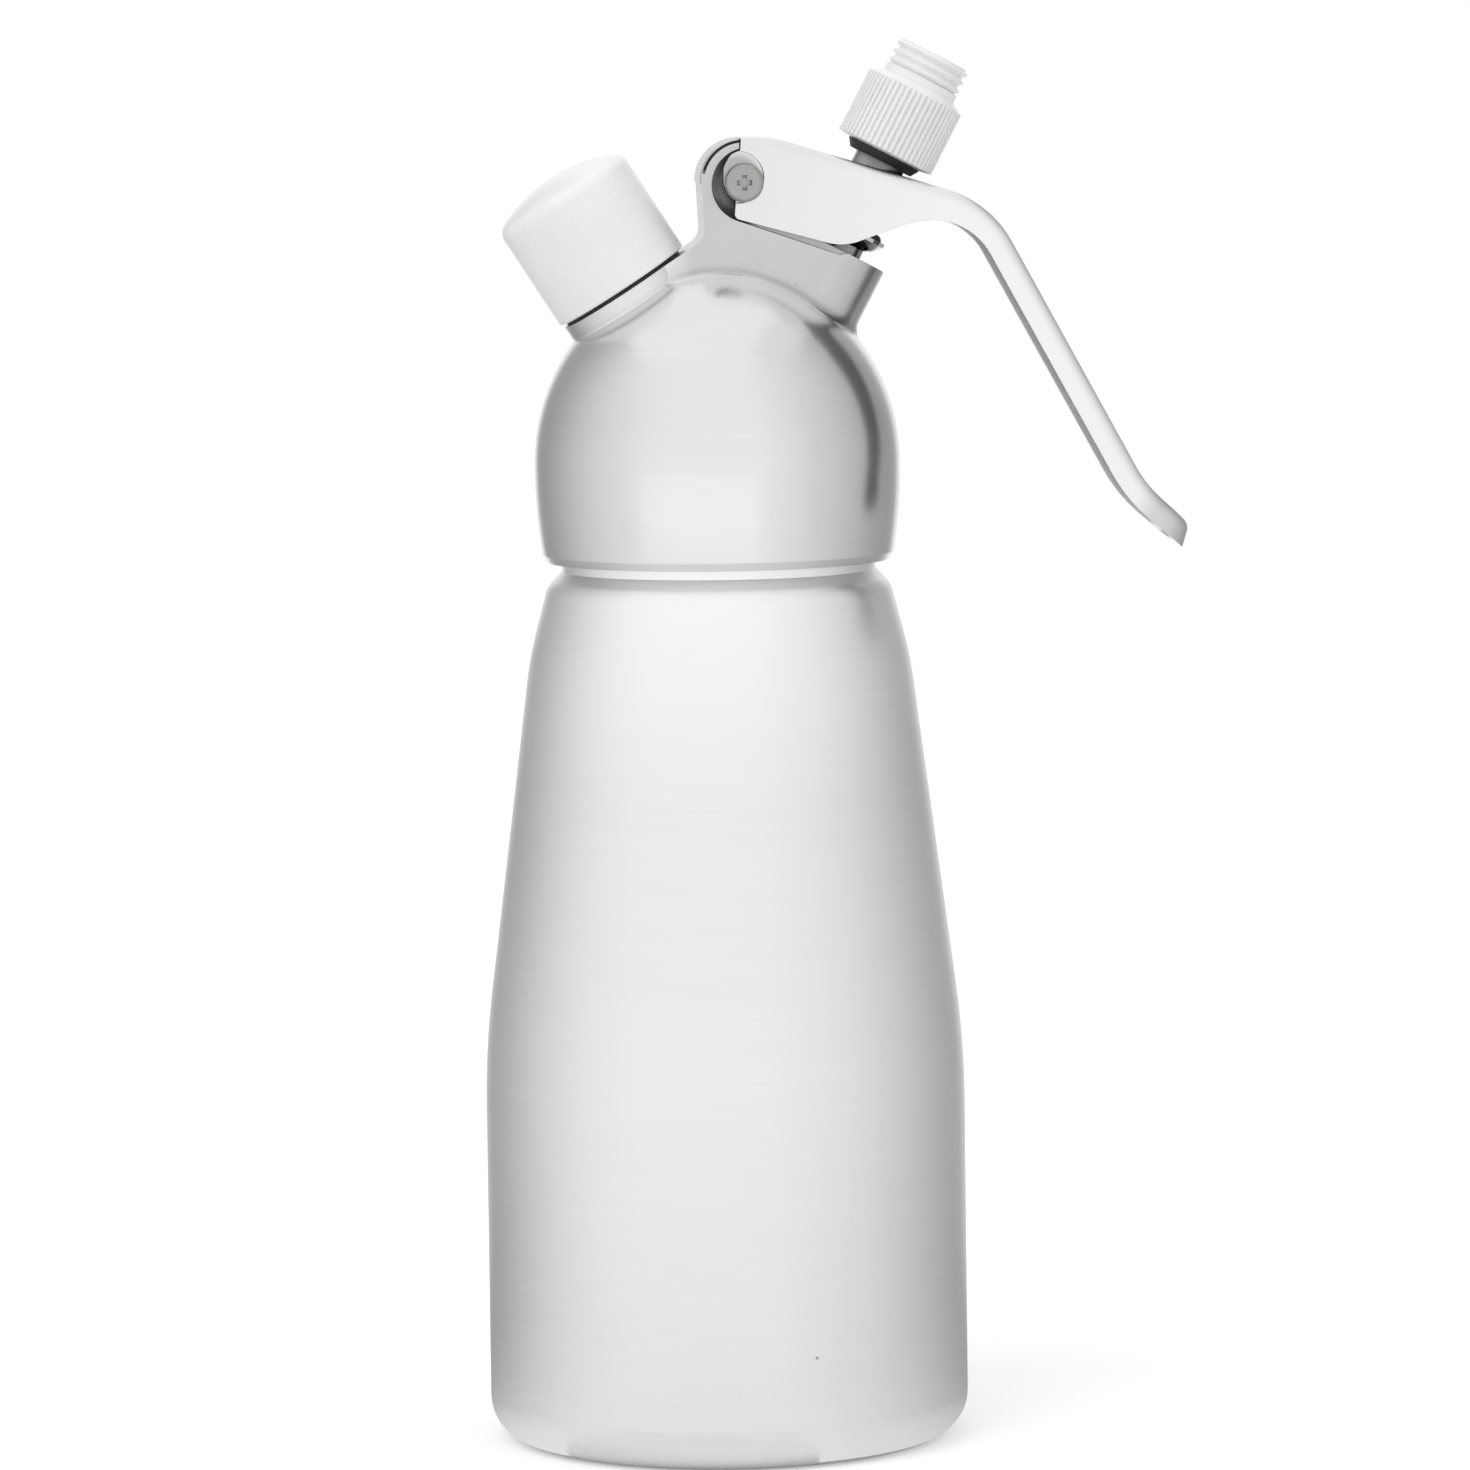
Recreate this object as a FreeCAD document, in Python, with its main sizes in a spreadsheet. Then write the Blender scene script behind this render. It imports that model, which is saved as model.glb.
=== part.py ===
import FreeCAD, Part
import math
import os
from types import SimpleNamespace

import Sketcher

# A half-litre whipped cream dispenser. Millimetres, +Z up, the origin at the centre of the flat base.
# The lever reaches out to +X. The charger port leans to -X and the cream valve leans to +X.

doc = FreeCAD.newDocument("CreamDispenser")
V = FreeCAD.Vector

# ------------------------------------------------------------------ driving sizes

DRIVING_SIZES = [
    # bottle, spun from one piece of aluminium
    ("bottle_radius", 40.0),
    ("bottle_foot_round", 7.2),
    ("bottle_wall", 1.6),
    ("bottle_straight_top", 66.0),
    ("bottle_taper_top", 131.0),
    ("bottle_taper_radius", 31.65),
    ("bottle_taper_blend", 155.0),
    ("shoulder_height", 142.9),
    ("shoulder_radius", 28.5),
    ("shoulder_top", 145.4),
    ("shoulder_blend", 55.0),
    ("shoulder_round", 4.5),
    ("collar_radius", 26.0),
    ("collar_rise", 2.6),
    ("neck_radius", 24.2),
    ("neck_rise", 15.6),
    ("neck_thread_depth", 0.7),
    ("neck_thread_pitch", 3.0),
    ("neck_thread_turns", 3),
    ("neck_thread_start", 4.6),
    # head casting: turned dome below, saddle and stubs above
    ("head_gap", 1.6),
    ("head_edge_radius", 28.5),
    ("head_edge_rise", 1.3),
    ("head_skirt_radius", 29.2),
    ("head_skirt_round", 100.0),
    ("head_widest_radius", 30.3),
    ("head_widest_rise", 16.0),
    ("head_dome_round", 34.7),
    ("head_wall", 4.3),
    ("head_ceiling_radius", 4.0),
    ("head_ledge_radius", 22.4),
    ("head_ledge_thickness", 2.2),
    ("collar_clearance", 0.3),
    ("neck_clearance", 0.35),
    ("gasket_thickness", 2.0),
    ("gasket_clearance", 0.05),
    # saddle
    ("saddle_half_width", 8.9),
    ("back_wall_x", -2.05),
    ("back_wall_lean", 0.55),
    ("back_wall_top", 211.1),
    ("saddle_round", 3.0),
    ("seam_round", 3.2),
    ("saddle_blank_height", 8.0),
    ("pivot_x", 4.5),
    ("pivot_z", 209.6),
    ("boss_radius", 5.4),
    ("boss_half_width", 7.1),
    ("boss_slope_x", 5.6),
    ("boss_slope_drop", 1.6),
    ("hood_radius", 7.3),
    ("hood_half_width", 8.3),
    ("hood_round", 0.55),
    ("hood_front", 0.75),
    ("lip_radius", 6.6),
    ("pocket_radius", 6.2),
    ("pocket_centre_x", 0.85),
    ("pocket_centre_drop", 0.4),
    ("pocket_fall", 19.3),
    ("pocket_low_reach", 15.7),
    ("pocket_end_reach", 27.5),
    ("pocket_end_rise", 2.8),
    # charger side: heights run along the port's own leaning axis
    ("charger_tilt", 32.5),
    ("charger_foot_height", 168.3),
    ("charger_pad_radius", 11.6),
    ("charger_pad_top", 28.2),
    ("charger_boss_radius", 8.6),
    ("charger_boss_bottom", 19.0),
    ("port_thread_radius", 9.0),
    ("port_thread_depth", 0.6),
    ("port_thread_pitch", 1.5),
    ("port_thread_turns", 6),
    ("port_rise", 12.0),
    ("port_shank_radius", 6.5),
    ("port_shank_end", 16.5),
    ("port_tail_radius", 3.4),
    ("port_tail_end", 10.0),
    ("port_neck_radius", 4.6),
    ("port_neck_depth", 10.0),
    ("port_gas_radius", 1.5),
    ("port_washer_thickness", 0.5),
    ("port_washer_radius", 11.0),
    ("pin_disc_thickness", 1.0),
    ("pin_radius", 1.1),
    ("pin_length", 6.2),
    ("pin_point_length", 1.8),
    ("pin_hole_radius", 0.4),
    ("charger_seal_thickness", 1.8),
    ("sleeve_wall", 1.0),
    ("sleeve_length", 5.4),
    ("cap_gap", 0.15),
    ("cap_radius", 12.1),
    ("cap_side_height", 18.4),
    ("cap_crown_rise", 2.9),
    ("cap_crown_round", 26.0),
    ("cap_edge_round", 2.6),
    ("cap_bore_depth", 13.4),
    ("cap_clearance", 0.3),
    # cream valve: heights run along the valve's own leaning axis
    ("valve_tilt", 27.8),
    ("valve_foot_height", 160.1),
    ("stub_radius", 8.9),
    ("stub_top", 43.3),
    ("valve_boss_radius", 9.5),
    ("valve_boss_bottom", 12.0),
    ("chamber_radius", 7.0),
    ("seat_height", 26.2),
    ("seat_bore_radius", 4.45),
    ("gland_bore_bottom", 34.0),
    ("gland_radius", 6.5),
    ("gland_sink", 1.0),
    ("gland_slot_width", 1.2),
    ("gland_slot_depth", 0.7),
    ("thread_clearance", 0.05),
    ("stem_radius", 4.35),
    ("stem_clearance", 0.1),
    ("stem_bore_radius", 2.2),
    ("stem_top", 70.0),
    ("stem_neck_radius", 2.9),
    ("stem_neck_bore", 1.6),
    ("stem_neck_top", 31.0),
    ("stem_bottom", 21.6),
    ("stem_hole_radius", 1.1),
    ("stem_hole_height", 28.6),
    ("stem_hole_count", 4),
    ("stem_cup_bottom", 44.8),
    ("stem_cup_middle", 45.3),
    ("stem_cup_middle_radius", 5.5),
    ("stem_cup_rise", 1.4),
    ("stem_cup_radius", 7.1),
    ("stem_cup_sheet", 0.9),
    ("stem_flange_radius", 6.3),
    ("stem_flange_thickness", 1.9),
    ("stem_flange_top", 54.6),
    ("ring_section_radius", 0.55),
    ("ring_low_height", 36.8),
    ("ring_high_height", 40.6),
    ("ring_clearance", 0.06),
    ("cup_ring_radius", 6.2),
    ("cup_ring_thickness", 2.1),
    ("valve_plate_radius", 5.4),
    ("valve_plate_thickness", 2.0),
    ("valve_plate_rise", 0.8),
    ("valve_seal_thickness", 1.7),
    ("spring_wire_radius", 0.45),
    ("spring_coil_radius", 4.5),
    ("spring_pitch", 2.0),
    ("retainer_thickness", 2.4),
    ("retainer_hole_radius", 3.1),
    # nozzle adapter
    ("adapter_gap", 0.1),
    ("adapter_gasket_radius", 6.5),
    ("adapter_gasket_taper", 0.9),
    ("adapter_gasket_height", 1.35),
    ("adapter_bottom", 60.85),
    ("adapter_foot_radius", 6.7),
    ("adapter_foot_rise", 0.3),
    ("adapter_radius", 8.5),
    ("adapter_grip_height", 11.25),
    ("adapter_cone_height", 1.2),
    ("adapter_neck_radius", 6.45),
    ("adapter_neck_height", 1.3),
    ("adapter_thread_depth", 0.65),
    ("adapter_thread_pitch", 1.5),
    ("adapter_thread_turns", 3),
    ("adapter_bore_radius", 2.6),
    ("adapter_mouth_radius", 4.3),
    ("adapter_mouth_depth", 5.0),
    ("rib_count", 54),
    ("rib_depth", 0.28),
    ("rib_gap_width", 0.5),
    # lever, pressed from one strip of sheet; places are measured from the pivot
    ("lever_half_width", 8.8),
    ("lever_sheet", 1.4),
    ("lever_bend_round", 2.0),
    ("nose_back", 1.6),
    ("nose_top_back", 0.4),
    ("ear_front", 0.5),
    ("ear_front_rise", 5.3),
    ("ear_top_back", 2.1),
    ("ear_top_rise", 4.7),
    ("ear_back", 3.3),
    ("ear_back_rise", 2.6),
    ("ear_back_drop", 0.4),
    ("ear_foot_drop", 2.8),
    ("ear_round", 2.0),
    ("dimple_radius", 4.3),
    ("dimple_depth", 0.25),
    ("dimple_back", 1.0),
    ("dimple_rise", 0.9),
    ("nose_up", 7.3),
    ("nose_down", 5.85),
    ("crown_x", 5.1),
    ("elbow_x", 40.8),
    ("elbow_drop", 3.8),
    ("knee_x", 66.2),
    ("knee_drop", 50.8),
    ("tip_x", 73.7),
    ("tip_drop", 57.8),
    ("tip_low_x", 72.5),
    ("tip_low_drop", 61.6),
    ("heel_x", 63.0),
    ("heel_drop", 53.4),
    ("inner_elbow_x", 37.25),
    ("inner_elbow_drop", 6.0),
    ("brow_x", 27.5),
    ("brow_drop", 6.9),
    ("belly_x", 16.3),
    ("belly_drop", 10.8),
    ("crown_round", 15.0),
    ("elbow_round", 18.0),
    ("knee_round", 20.0),
    ("heel_round", 26.0),
    ("inner_elbow_round", 11.0),
    ("brow_round", 12.0),
    ("belly_round", 9.0),
    ("nose_round", 0.9),
    ("tip_round", 5.0),
    ("slot_centre_x", 22.6),
    ("slot_half_length", 1.6),
    ("slot_half_width", 4.95),
    # pivot: a barrel nut from the far side and a cross-head screw from the near side
    ("barrel_radius", 2.6),
    ("barrel_clearance", 0.05),
    ("barrel_end_play", 0.1),
    ("barrel_thread_radius", 1.6),
    ("screw_head_radius", 3.2),
    ("screw_head_height", 1.5),
    ("screw_head_round", 0.9),
    ("screw_length", 10.0),
    ("cross_length", 2.5),
    ("cross_width", 0.85),
    ("cross_depth", 0.9),
]

sheet = doc.addObject("Spreadsheet::Sheet", "Sizes")


class Size:
    """A number that remembers the sheet expression behind it, so that whatever uses it stays bound."""

    def __init__(self, value, text):
        self.value = float(value)
        self.text = text

    def __add__(self, other):
        return Size(self.value + value_of(other), "(%s + %s)" % (self.text, text_of(other)))

    def __sub__(self, other):
        return Size(self.value - value_of(other), "(%s - %s)" % (self.text, text_of(other)))

    def __mul__(self, other):
        return Size(self.value * value_of(other), "(%s * %s)" % (self.text, text_of(other)))

    def __truediv__(self, other):
        return Size(self.value / value_of(other), "(%s / %s)" % (self.text, text_of(other)))

    def __neg__(self):
        return Size(-self.value, "(0 - %s)" % self.text)


def value_of(number):
    return number.value if isinstance(number, Size) else float(number)


def text_of(number):
    return number.text if isinstance(number, Size) else "%.6g" % number


def sine(angle):
    return Size(math.sin(math.radians(angle.value)), "sin(%s * 1deg)" % angle.text)


def cosine(angle):
    return Size(math.cos(math.radians(angle.value)), "cos(%s * 1deg)" % angle.text)


def root(number):
    return Size(math.sqrt(number.value), "sqrt(%s)" % number.text)


def fill_sheet():
    """Write each driving size as a plain number with its alias, and return the bound sizes by name."""
    named = {}
    for row, (alias, number) in enumerate(DRIVING_SIZES, start=1):
        sheet.set("A%d" % row, alias)
        sheet.set("B%d" % row, str(number))
        sheet.setAlias("B%d" % row, alias)
        named[alias] = Size(number, "Sizes." + alias)
    doc.recompute()
    return SimpleNamespace(**named)


size = fill_sheet()
one = Size(1, "1")

# ------------------------------------------------------------------ modelling helpers


def bind(thing, prop, number):
    """Bind one property to the sheet, or set it where it is a plain number."""
    if isinstance(number, Size):
        thing.setExpression(prop, number.text)
    else:
        setattr(thing, prop, number)


def new_body(label):
    body = doc.addObject("PartDesign::Body", label)
    body.Label = label
    return body


def origin_plane(body, role):
    return [feature for feature in body.Origin.OriginFeatures if feature.Role == role][0]


def new_sketch(body, name, role, offset=None):
    sketch = body.newObject("Sketcher::SketchObject", name)
    sketch.AttachmentSupport = [(origin_plane(body, role), "")]
    sketch.MapMode = "FlatFace"
    if offset is not None:
        sketch.AttachmentOffset = FreeCAD.Placement(V(0, 0, value_of(offset)), FreeCAD.Rotation())
        bind(sketch, "AttachmentOffset.Base.z", offset)
    return sketch


def fix_point(sketch, geometry, position, across, up):
    """Hold one point of a sketch at a bound place."""
    for kind, number in (("DistanceX", across), ("DistanceY", up)):
        index = sketch.addConstraint(Sketcher.Constraint(kind, -1, 1, geometry, position, value_of(number)))
        if isinstance(number, Size):
            sketch.setExpression("Constraints[%d]" % index, number.text)


def arc_between(start, end, radius, turn):
    """A circular arc from start to end. turn is +1 where it runs anticlockwise and -1 where clockwise."""
    chord = end - start
    middle = (start + end) * 0.5
    away = math.sqrt(max(radius * radius - chord.Length ** 2 / 4, 0))
    left = V(-chord.y, chord.x, 0).normalize()
    centre = middle + left * away * turn
    first, last = (start, end) if turn > 0 else (end, start)
    angles = [math.atan2(p.y - centre.y, p.x - centre.x) for p in (first, last)]
    if angles[1] < angles[0]:
        angles[1] += 2 * math.pi
    return Part.ArcOfCircle(Part.Circle(centre, V(0, 0, 1), radius), angles[0], angles[1])


def outline(body, name, role, corners, offset=None):
    """A closed sketch. A corner is (across, up), or (across, up, radius, turn) where an arc leaves it."""
    sketch = new_sketch(body, name, role, offset)
    points = [V(value_of(corner[0]), value_of(corner[1]), 0) for corner in corners]
    ends = []
    for index, corner in enumerate(corners):
        start = points[index]
        end = points[(index + 1) % len(points)]
        if len(corner) == 2:
            sketch.addGeometry(Part.LineSegment(start, end), False)
            ends.append((1, 2))
        else:
            sketch.addGeometry(arc_between(start, end, value_of(corner[2]), corner[3]), False)
            ends.append((1, 2) if corner[3] > 0 else (2, 1))
    for index in range(len(corners)):
        following = (index + 1) % len(corners)
        joint = Sketcher.Constraint("Coincident", index, ends[index][1], following, ends[following][0])
        sketch.addConstraint(joint)
    for index, corner in enumerate(corners):
        fix_point(sketch, index, ends[index][0], corner[0], corner[1])
        if len(corner) == 4:
            number = sketch.addConstraint(Sketcher.Constraint("Radius", index, value_of(corner[2])))
            bind(sketch, "Constraints[%d]" % number, corner[2])
    return sketch


def eased(before, corner, after, radius):
    """Two outline corners that round a left-hand corner between its neighbours with an arc."""
    ahead = (corner[0] - before[0], corner[1] - before[1])
    onward = (after[0] - corner[0], after[1] - corner[1])
    lengths = [root(across * across + up * up) for across, up in (ahead, onward)]
    agreement = (ahead[0] * onward[0] + ahead[1] * onward[1]) / (lengths[0] * lengths[1])
    reach = radius * root((one - agreement) / (one + agreement))
    start = (corner[0] - ahead[0] / lengths[0] * reach, corner[1] - ahead[1] / lengths[0] * reach)
    end = (corner[0] + onward[0] / lengths[1] * reach, corner[1] + onward[1] / lengths[1] * reach)
    return [(*start, radius, 1), end]


def disc(body, name, role, across, up, radius, offset=None):
    """A sketch of one circle."""
    sketch = new_sketch(body, name, role, offset)
    circle = Part.Circle(V(value_of(across), value_of(up), 0), V(0, 0, 1), value_of(radius))
    sketch.addGeometry(circle, False)
    fix_point(sketch, 0, 3, across, up)
    index = sketch.addConstraint(Sketcher.Constraint("Radius", 0, value_of(radius)))
    bind(sketch, "Constraints[%d]" % index, radius)
    return sketch


def revolved(body, name, corners, cut=False):
    """Turn an outline of (radius, height) corners about the body's Z axis."""
    sketch = outline(body, name + "_outline", "XZ_Plane", corners)
    kind = "PartDesign::Groove" if cut else "PartDesign::Revolution"
    feature = body.newObject(kind, name)
    feature.Profile = sketch
    feature.ReferenceAxis = (sketch, ["V_Axis"])
    feature.Angle = 360
    return feature


def padded(body, name, sketch, length, both_ways=False, reverse=False):
    feature = body.newObject("PartDesign::Pad", name)
    feature.Profile = sketch
    bind(feature, "Length", length)
    if both_ways:
        feature.SideType = "Symmetric"
    feature.Reversed = reverse
    return feature


def pocketed(body, name, sketch, length, both_ways=False, reverse=False):
    feature = body.newObject("PartDesign::Pocket", name)
    feature.Profile = sketch
    bind(feature, "Length", length)
    if both_ways:
        feature.SideType = "Symmetric"
    feature.Reversed = reverse
    return feature


def edges_where(shape, test):
    """Names of the edges whose middle point and direction there pass a test."""
    found = []
    for index, edge in enumerate(shape.Edges, start=1):
        if edge.Degenerated:
            continue
        middle = 0.5 * (edge.FirstParameter + edge.LastParameter)
        if test(edge, edge.valueAt(middle), edge.tangentAt(middle)):
            found.append("Edge%d" % index)
    return found


def ring_edges(shape, radius, height, slack=0.05):
    """Names of the circles about Z that have a given radius and height."""

    def is_ring(edge, point, direction):
        across = math.hypot(point.x, point.y)
        return abs(across - value_of(radius)) < slack and abs(point.z - value_of(height)) < slack

    return [name for name in edges_where(shape, is_ring) if shape.getElement(name).isClosed()]


def cross_edges(shape, across, up, slack=0.05):
    """Names of the straight edges that run along Y through a place in the XZ plane."""

    def is_cross(edge, point, direction):
        near = abs(point.x - value_of(across)) < slack and abs(point.z - value_of(up)) < slack
        return near and abs(abs(direction.y) - 1) < 1e-6

    return edges_where(shape, is_cross)


def rounded(body, name, base, edges, radius):
    """Round the named edges of the body's last feature."""
    if not edges:
        raise ValueError("no edge found for " + name)
    feature = body.newObject("PartDesign::Fillet", name)
    feature.Base = (base, edges)
    bind(feature, "Radius", radius)
    doc.recompute()
    return feature


def lean(body, foot_height, tilt, toward):
    """Stand a body that was modelled upright on an axis that leans from the bottle's axis along X."""
    turn = FreeCAD.Rotation(V(0, toward, 0), tilt.value)
    body.Placement = FreeCAD.Placement(V(0, 0, foot_height.value), turn)
    bind(body, "Placement.Base.z", foot_height)
    bind(body, "Placement.Rotation.Angle", tilt)


def on_valve_axis(body):
    lean(body, size.valve_foot_height, size.valve_tilt, 1)


def on_charger_axis(body):
    lean(body, size.charger_foot_height, size.charger_tilt, -1)


def valve_point(along, out=0.0):
    """X and Z of a place on the valve's axis, or out from it towards +X."""
    x = sine(size.valve_tilt) * along + cosine(size.valve_tilt) * out
    z = size.valve_foot_height + cosine(size.valve_tilt) * along - sine(size.valve_tilt) * out
    return x, z


def charger_point(along, out=0.0):
    """X and Z of a place on the charger port's axis, or out from it towards +X."""
    x = cosine(size.charger_tilt) * out - sine(size.charger_tilt) * along
    z = size.charger_foot_height + cosine(size.charger_tilt) * along + sine(size.charger_tilt) * out
    return x, z


def thread_corners(crest, depth, bottom, pitch, turns):
    """Corners up the outside of a thread drawn as plain ridges, from its root at the bottom to its top."""
    corners = []
    root_radius = crest - depth
    for turn in range(turns):
        foot = bottom + pitch * turn
        corners.append((root_radius, foot + pitch * 0.15))
        corners.append((crest, foot + pitch * 0.45))
        corners.append((crest, foot + pitch * 0.6))
        corners.append((root_radius, foot + pitch * 0.9))
    return corners


# ------------------------------------------------------------------ bottle and its gasket

neck_top = size.shoulder_top + size.neck_rise
head_bottom = size.shoulder_top + size.head_gap


def make_bottle():
    """One spun shell with a rounded foot, a long taper, a round shoulder and a threaded neck."""
    body = new_body("bottle")
    collar_top = size.shoulder_top + size.collar_rise
    nought = one - 1
    middle = (nought, nought)
    foot = (size.bottle_radius, nought)
    taper_start = (size.bottle_radius, size.bottle_straight_top)
    taper_end = (size.bottle_taper_radius, size.bottle_taper_top)
    shoulder = (size.shoulder_radius, size.shoulder_height)
    shoulder_end = (size.collar_radius, size.shoulder_top)
    feature = revolved(body, "bottle_shell", [
        (0, 0),
        *eased(middle, foot, taper_start, size.bottle_foot_round),
        *eased(foot, taper_start, taper_end, size.bottle_taper_blend),
        *eased(taper_start, taper_end, shoulder, size.shoulder_blend),
        *eased(taper_end, shoulder, shoulder_end, size.shoulder_round),
        shoulder_end,
        (size.collar_radius, collar_top),
        (size.neck_radius, collar_top),
        (size.neck_radius, neck_top),
        (0, neck_top),
    ])
    doc.recompute()
    faces = feature.Shape.Faces
    mouth = [i for i, face in enumerate(faces, start=1) if abs(face.BoundBox.ZMin - neck_top.value) < 0.01]
    hollow = body.newObject("PartDesign::Thickness", "bottle_hollow")
    hollow.Base = (feature, ["Face%d" % index for index in mouth])
    bind(hollow, "Value", size.bottle_wall)
    hollow.Reversed = True
    doc.recompute()
    crest = size.neck_radius + size.neck_thread_depth
    start = size.shoulder_top + size.neck_thread_start
    turns = int(size.neck_thread_turns.value)
    ridges = thread_corners(crest, size.neck_thread_depth, start, size.neck_thread_pitch, turns)
    inside = size.neck_radius - size.bottle_wall / 2
    thread_top = start + size.neck_thread_pitch * size.neck_thread_turns
    revolved(body, "bottle_thread", [(inside, start)] + ridges + [(inside, thread_top)])
    return body


def make_head_gasket():
    """The flat rubber ring that the head squeezes on the bottle's rim."""
    body = new_body("head_gasket")
    inner = size.neck_radius - size.bottle_wall
    outer = size.neck_radius + size.neck_thread_depth
    bottom = neck_top + size.gasket_clearance
    top = bottom + size.gasket_thickness
    revolved(body, "head_gasket_ring", [(inner, bottom), (outer, bottom), (outer, top), (inner, top)])
    return body


# ------------------------------------------------------------------ head casting


def head_dome():
    """The turned outside of the dome, from its lower edge to where it closes on the axis."""
    body = new_body("head_dome")
    widest = head_bottom + size.head_widest_rise
    reach = size.head_dome_round - size.head_widest_radius
    apex = widest + root(size.head_dome_round * size.head_dome_round - reach * reach)
    skirt = head_bottom + size.head_edge_rise
    revolved(body, "dome_turning", [
        (0, head_bottom),
        (size.head_edge_radius, head_bottom),
        (size.head_skirt_radius, skirt, size.head_skirt_round, 1),
        (size.head_widest_radius, widest, size.head_dome_round, 1),
        (0, apex),
    ])
    return body


def saddle():
    """The upright web of the casting, still solid on the charger's side, with that side's rounded end."""
    web = new_body("head_saddle")
    blank_top = size.charger_pad_top + size.saddle_blank_height
    sketch = outline(web, "saddle_outline", "XZ_Plane", [
        charger_point(size.charger_boss_bottom),
        charger_point(blank_top),
        (size.back_wall_x - size.back_wall_lean * 2, size.back_wall_top),
        (size.pivot_x, size.back_wall_top),
        (size.pivot_x + size.boss_slope_x, size.pivot_z - size.boss_slope_drop),
        valve_point(size.stub_top, -size.stub_radius),
        valve_point(size.stub_top),
        valve_point(size.seat_height),
    ])
    padded(web, "saddle_web", sketch, size.saddle_half_width * 2, both_ways=True)
    end = upright_cylinder("head_saddle_end", size.saddle_half_width, size.charger_boss_bottom, blank_top)
    on_charger_axis(end)
    return [web, end]


def charger_notch():
    """What is cut away above the charger's pad, up to the upright back wall behind the lever's pivot."""
    body = new_body("head_charger_notch")
    back_out = (size.back_wall_x + sine(size.charger_tilt) * size.charger_pad_top) / cosine(size.charger_tilt)
    wall_foot = charger_point(size.charger_pad_top, back_out)[1]
    pad_end = charger_point(size.charger_pad_top, -(size.bottle_radius))
    above = size.back_wall_top + size.bottle_radius
    lean_above = size.back_wall_lean * (above - wall_foot) / (size.back_wall_top - wall_foot)
    sketch = outline(body, "notch_outline", "XZ_Plane", [
        pad_end,
        (size.back_wall_x, wall_foot),
        (size.back_wall_x - lean_above, above),
        (pad_end[0], above),
    ])
    block = padded(body, "notch_block", sketch, size.bottle_radius * 2, both_ways=True)
    doc.recompute()
    foot_edge = cross_edges(block.Shape, size.back_wall_x, wall_foot)
    rounded(body, "notch_foot", block, foot_edge, size.saddle_round)
    return body


def pivot_sector(label, radius, half_width, edge_round):
    """The rounded hood behind the lever's pivot, and the lip that stands a little proud of its sides."""
    body = new_body(label)
    rise = root(radius * radius - size.hood_front * size.hood_front)
    front = size.pivot_x - size.hood_front
    sketch = outline(body, label + "_outline", "XZ_Plane", [
        (front, size.pivot_z),
        (front, size.pivot_z + rise, radius, 1),
        (size.pivot_x - radius, size.pivot_z),
    ])
    pad = padded(body, label + "_pad", sketch, half_width * 2, both_ways=True)
    doc.recompute()
    rims = edges_where(pad.Shape, lambda edge, middle, along: on_arc(edge, radius.value) and abs(middle.y) > 1)
    rounded(body, label + "_round", pad, rims, edge_round)
    return body


def on_arc(edge, radius):
    """Whether an edge is a circle of this radius."""
    return isinstance(edge.Curve, Part.Circle) and abs(edge.Curve.Radius - radius) < 0.01


def pivot_boss():
    """The round middle of the casting that the lever's two cheeks straddle."""
    body = new_body("head_boss")
    sketch = disc(body, "boss_circle", "XZ_Plane", size.pivot_x, size.pivot_z, size.boss_radius)
    padded(body, "boss_pad", sketch, size.boss_half_width * 2, both_ways=True)
    return body


def lever_pocket(side):
    """The recess in one side of the casting where a cheek of the lever lies and swings."""
    body = new_body("head_pocket_near" if side < 0 else "head_pocket_far")
    front = size.pivot_x - size.hood_front
    centre_x = size.pivot_x + size.pocket_centre_x
    centre_z = size.pivot_z - size.pocket_centre_drop
    reach = centre_x - front
    rise = root(size.pocket_radius * size.pocket_radius - reach * reach)
    leave_x = centre_x - size.pocket_radius * sine(size.pocket_fall)
    leave_z = centre_z - size.pocket_radius * cosine(size.pocket_fall)
    low_x = size.pivot_x + size.pocket_low_reach
    low_z = leave_z - (low_x - leave_x) * sine(size.pocket_fall) / cosine(size.pocket_fall)
    end_x = size.pivot_x + size.pocket_end_reach
    above = size.pivot_z + size.hood_radius * 2
    corners = [
        (front, centre_z + rise, size.pocket_radius, 1),
        (leave_x, leave_z),
        (low_x, low_z),
        (end_x, low_z + size.pocket_end_rise),
        (end_x, above),
        (front, above),
    ]
    # the XZ plane's normal is -Y, so the near side (-Y) is at a positive offset
    offset = size.boss_half_width * (-side)
    sketch = outline(body, body.Label + "_outline", "XZ_Plane", corners, offset)
    padded(body, body.Label + "_pad", sketch, size.saddle_half_width, reverse=side > 0)
    return body


def head_cavity():
    """The hollow of the head: pilot for the bottle's collar, threaded bore, gasket ledge and dome space."""
    body = new_body("head_cavity")
    pilot = size.collar_radius + size.collar_clearance
    pilot_top = size.shoulder_top + size.collar_rise + size.collar_clearance
    bore = size.neck_radius + size.neck_thread_depth + size.neck_clearance
    ledge = neck_top + size.gasket_thickness + size.gasket_clearance * 2
    ledge_top = ledge + size.head_ledge_thickness
    inner_round = size.head_widest_radius - size.head_wall
    spring_rise = size.head_ledge_thickness
    spring_radius = root(inner_round * inner_round - spring_rise * spring_rise)
    flat = size.head_ceiling_radius
    ceiling = ledge_top + root(inner_round * inner_round - flat * flat)
    revolved(body, "cavity_turning", [
        (0, head_bottom - 1),
        (pilot, head_bottom - 1),
        (pilot, pilot_top),
        (bore, pilot_top),
        (bore, ledge),
        (size.head_ledge_radius, ledge),
        (size.head_ledge_radius, ledge_top),
        (spring_radius, ledge_top + spring_rise, inner_round, 1),
        (flat, ceiling),
        (0, ceiling),
    ])
    return body


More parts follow.
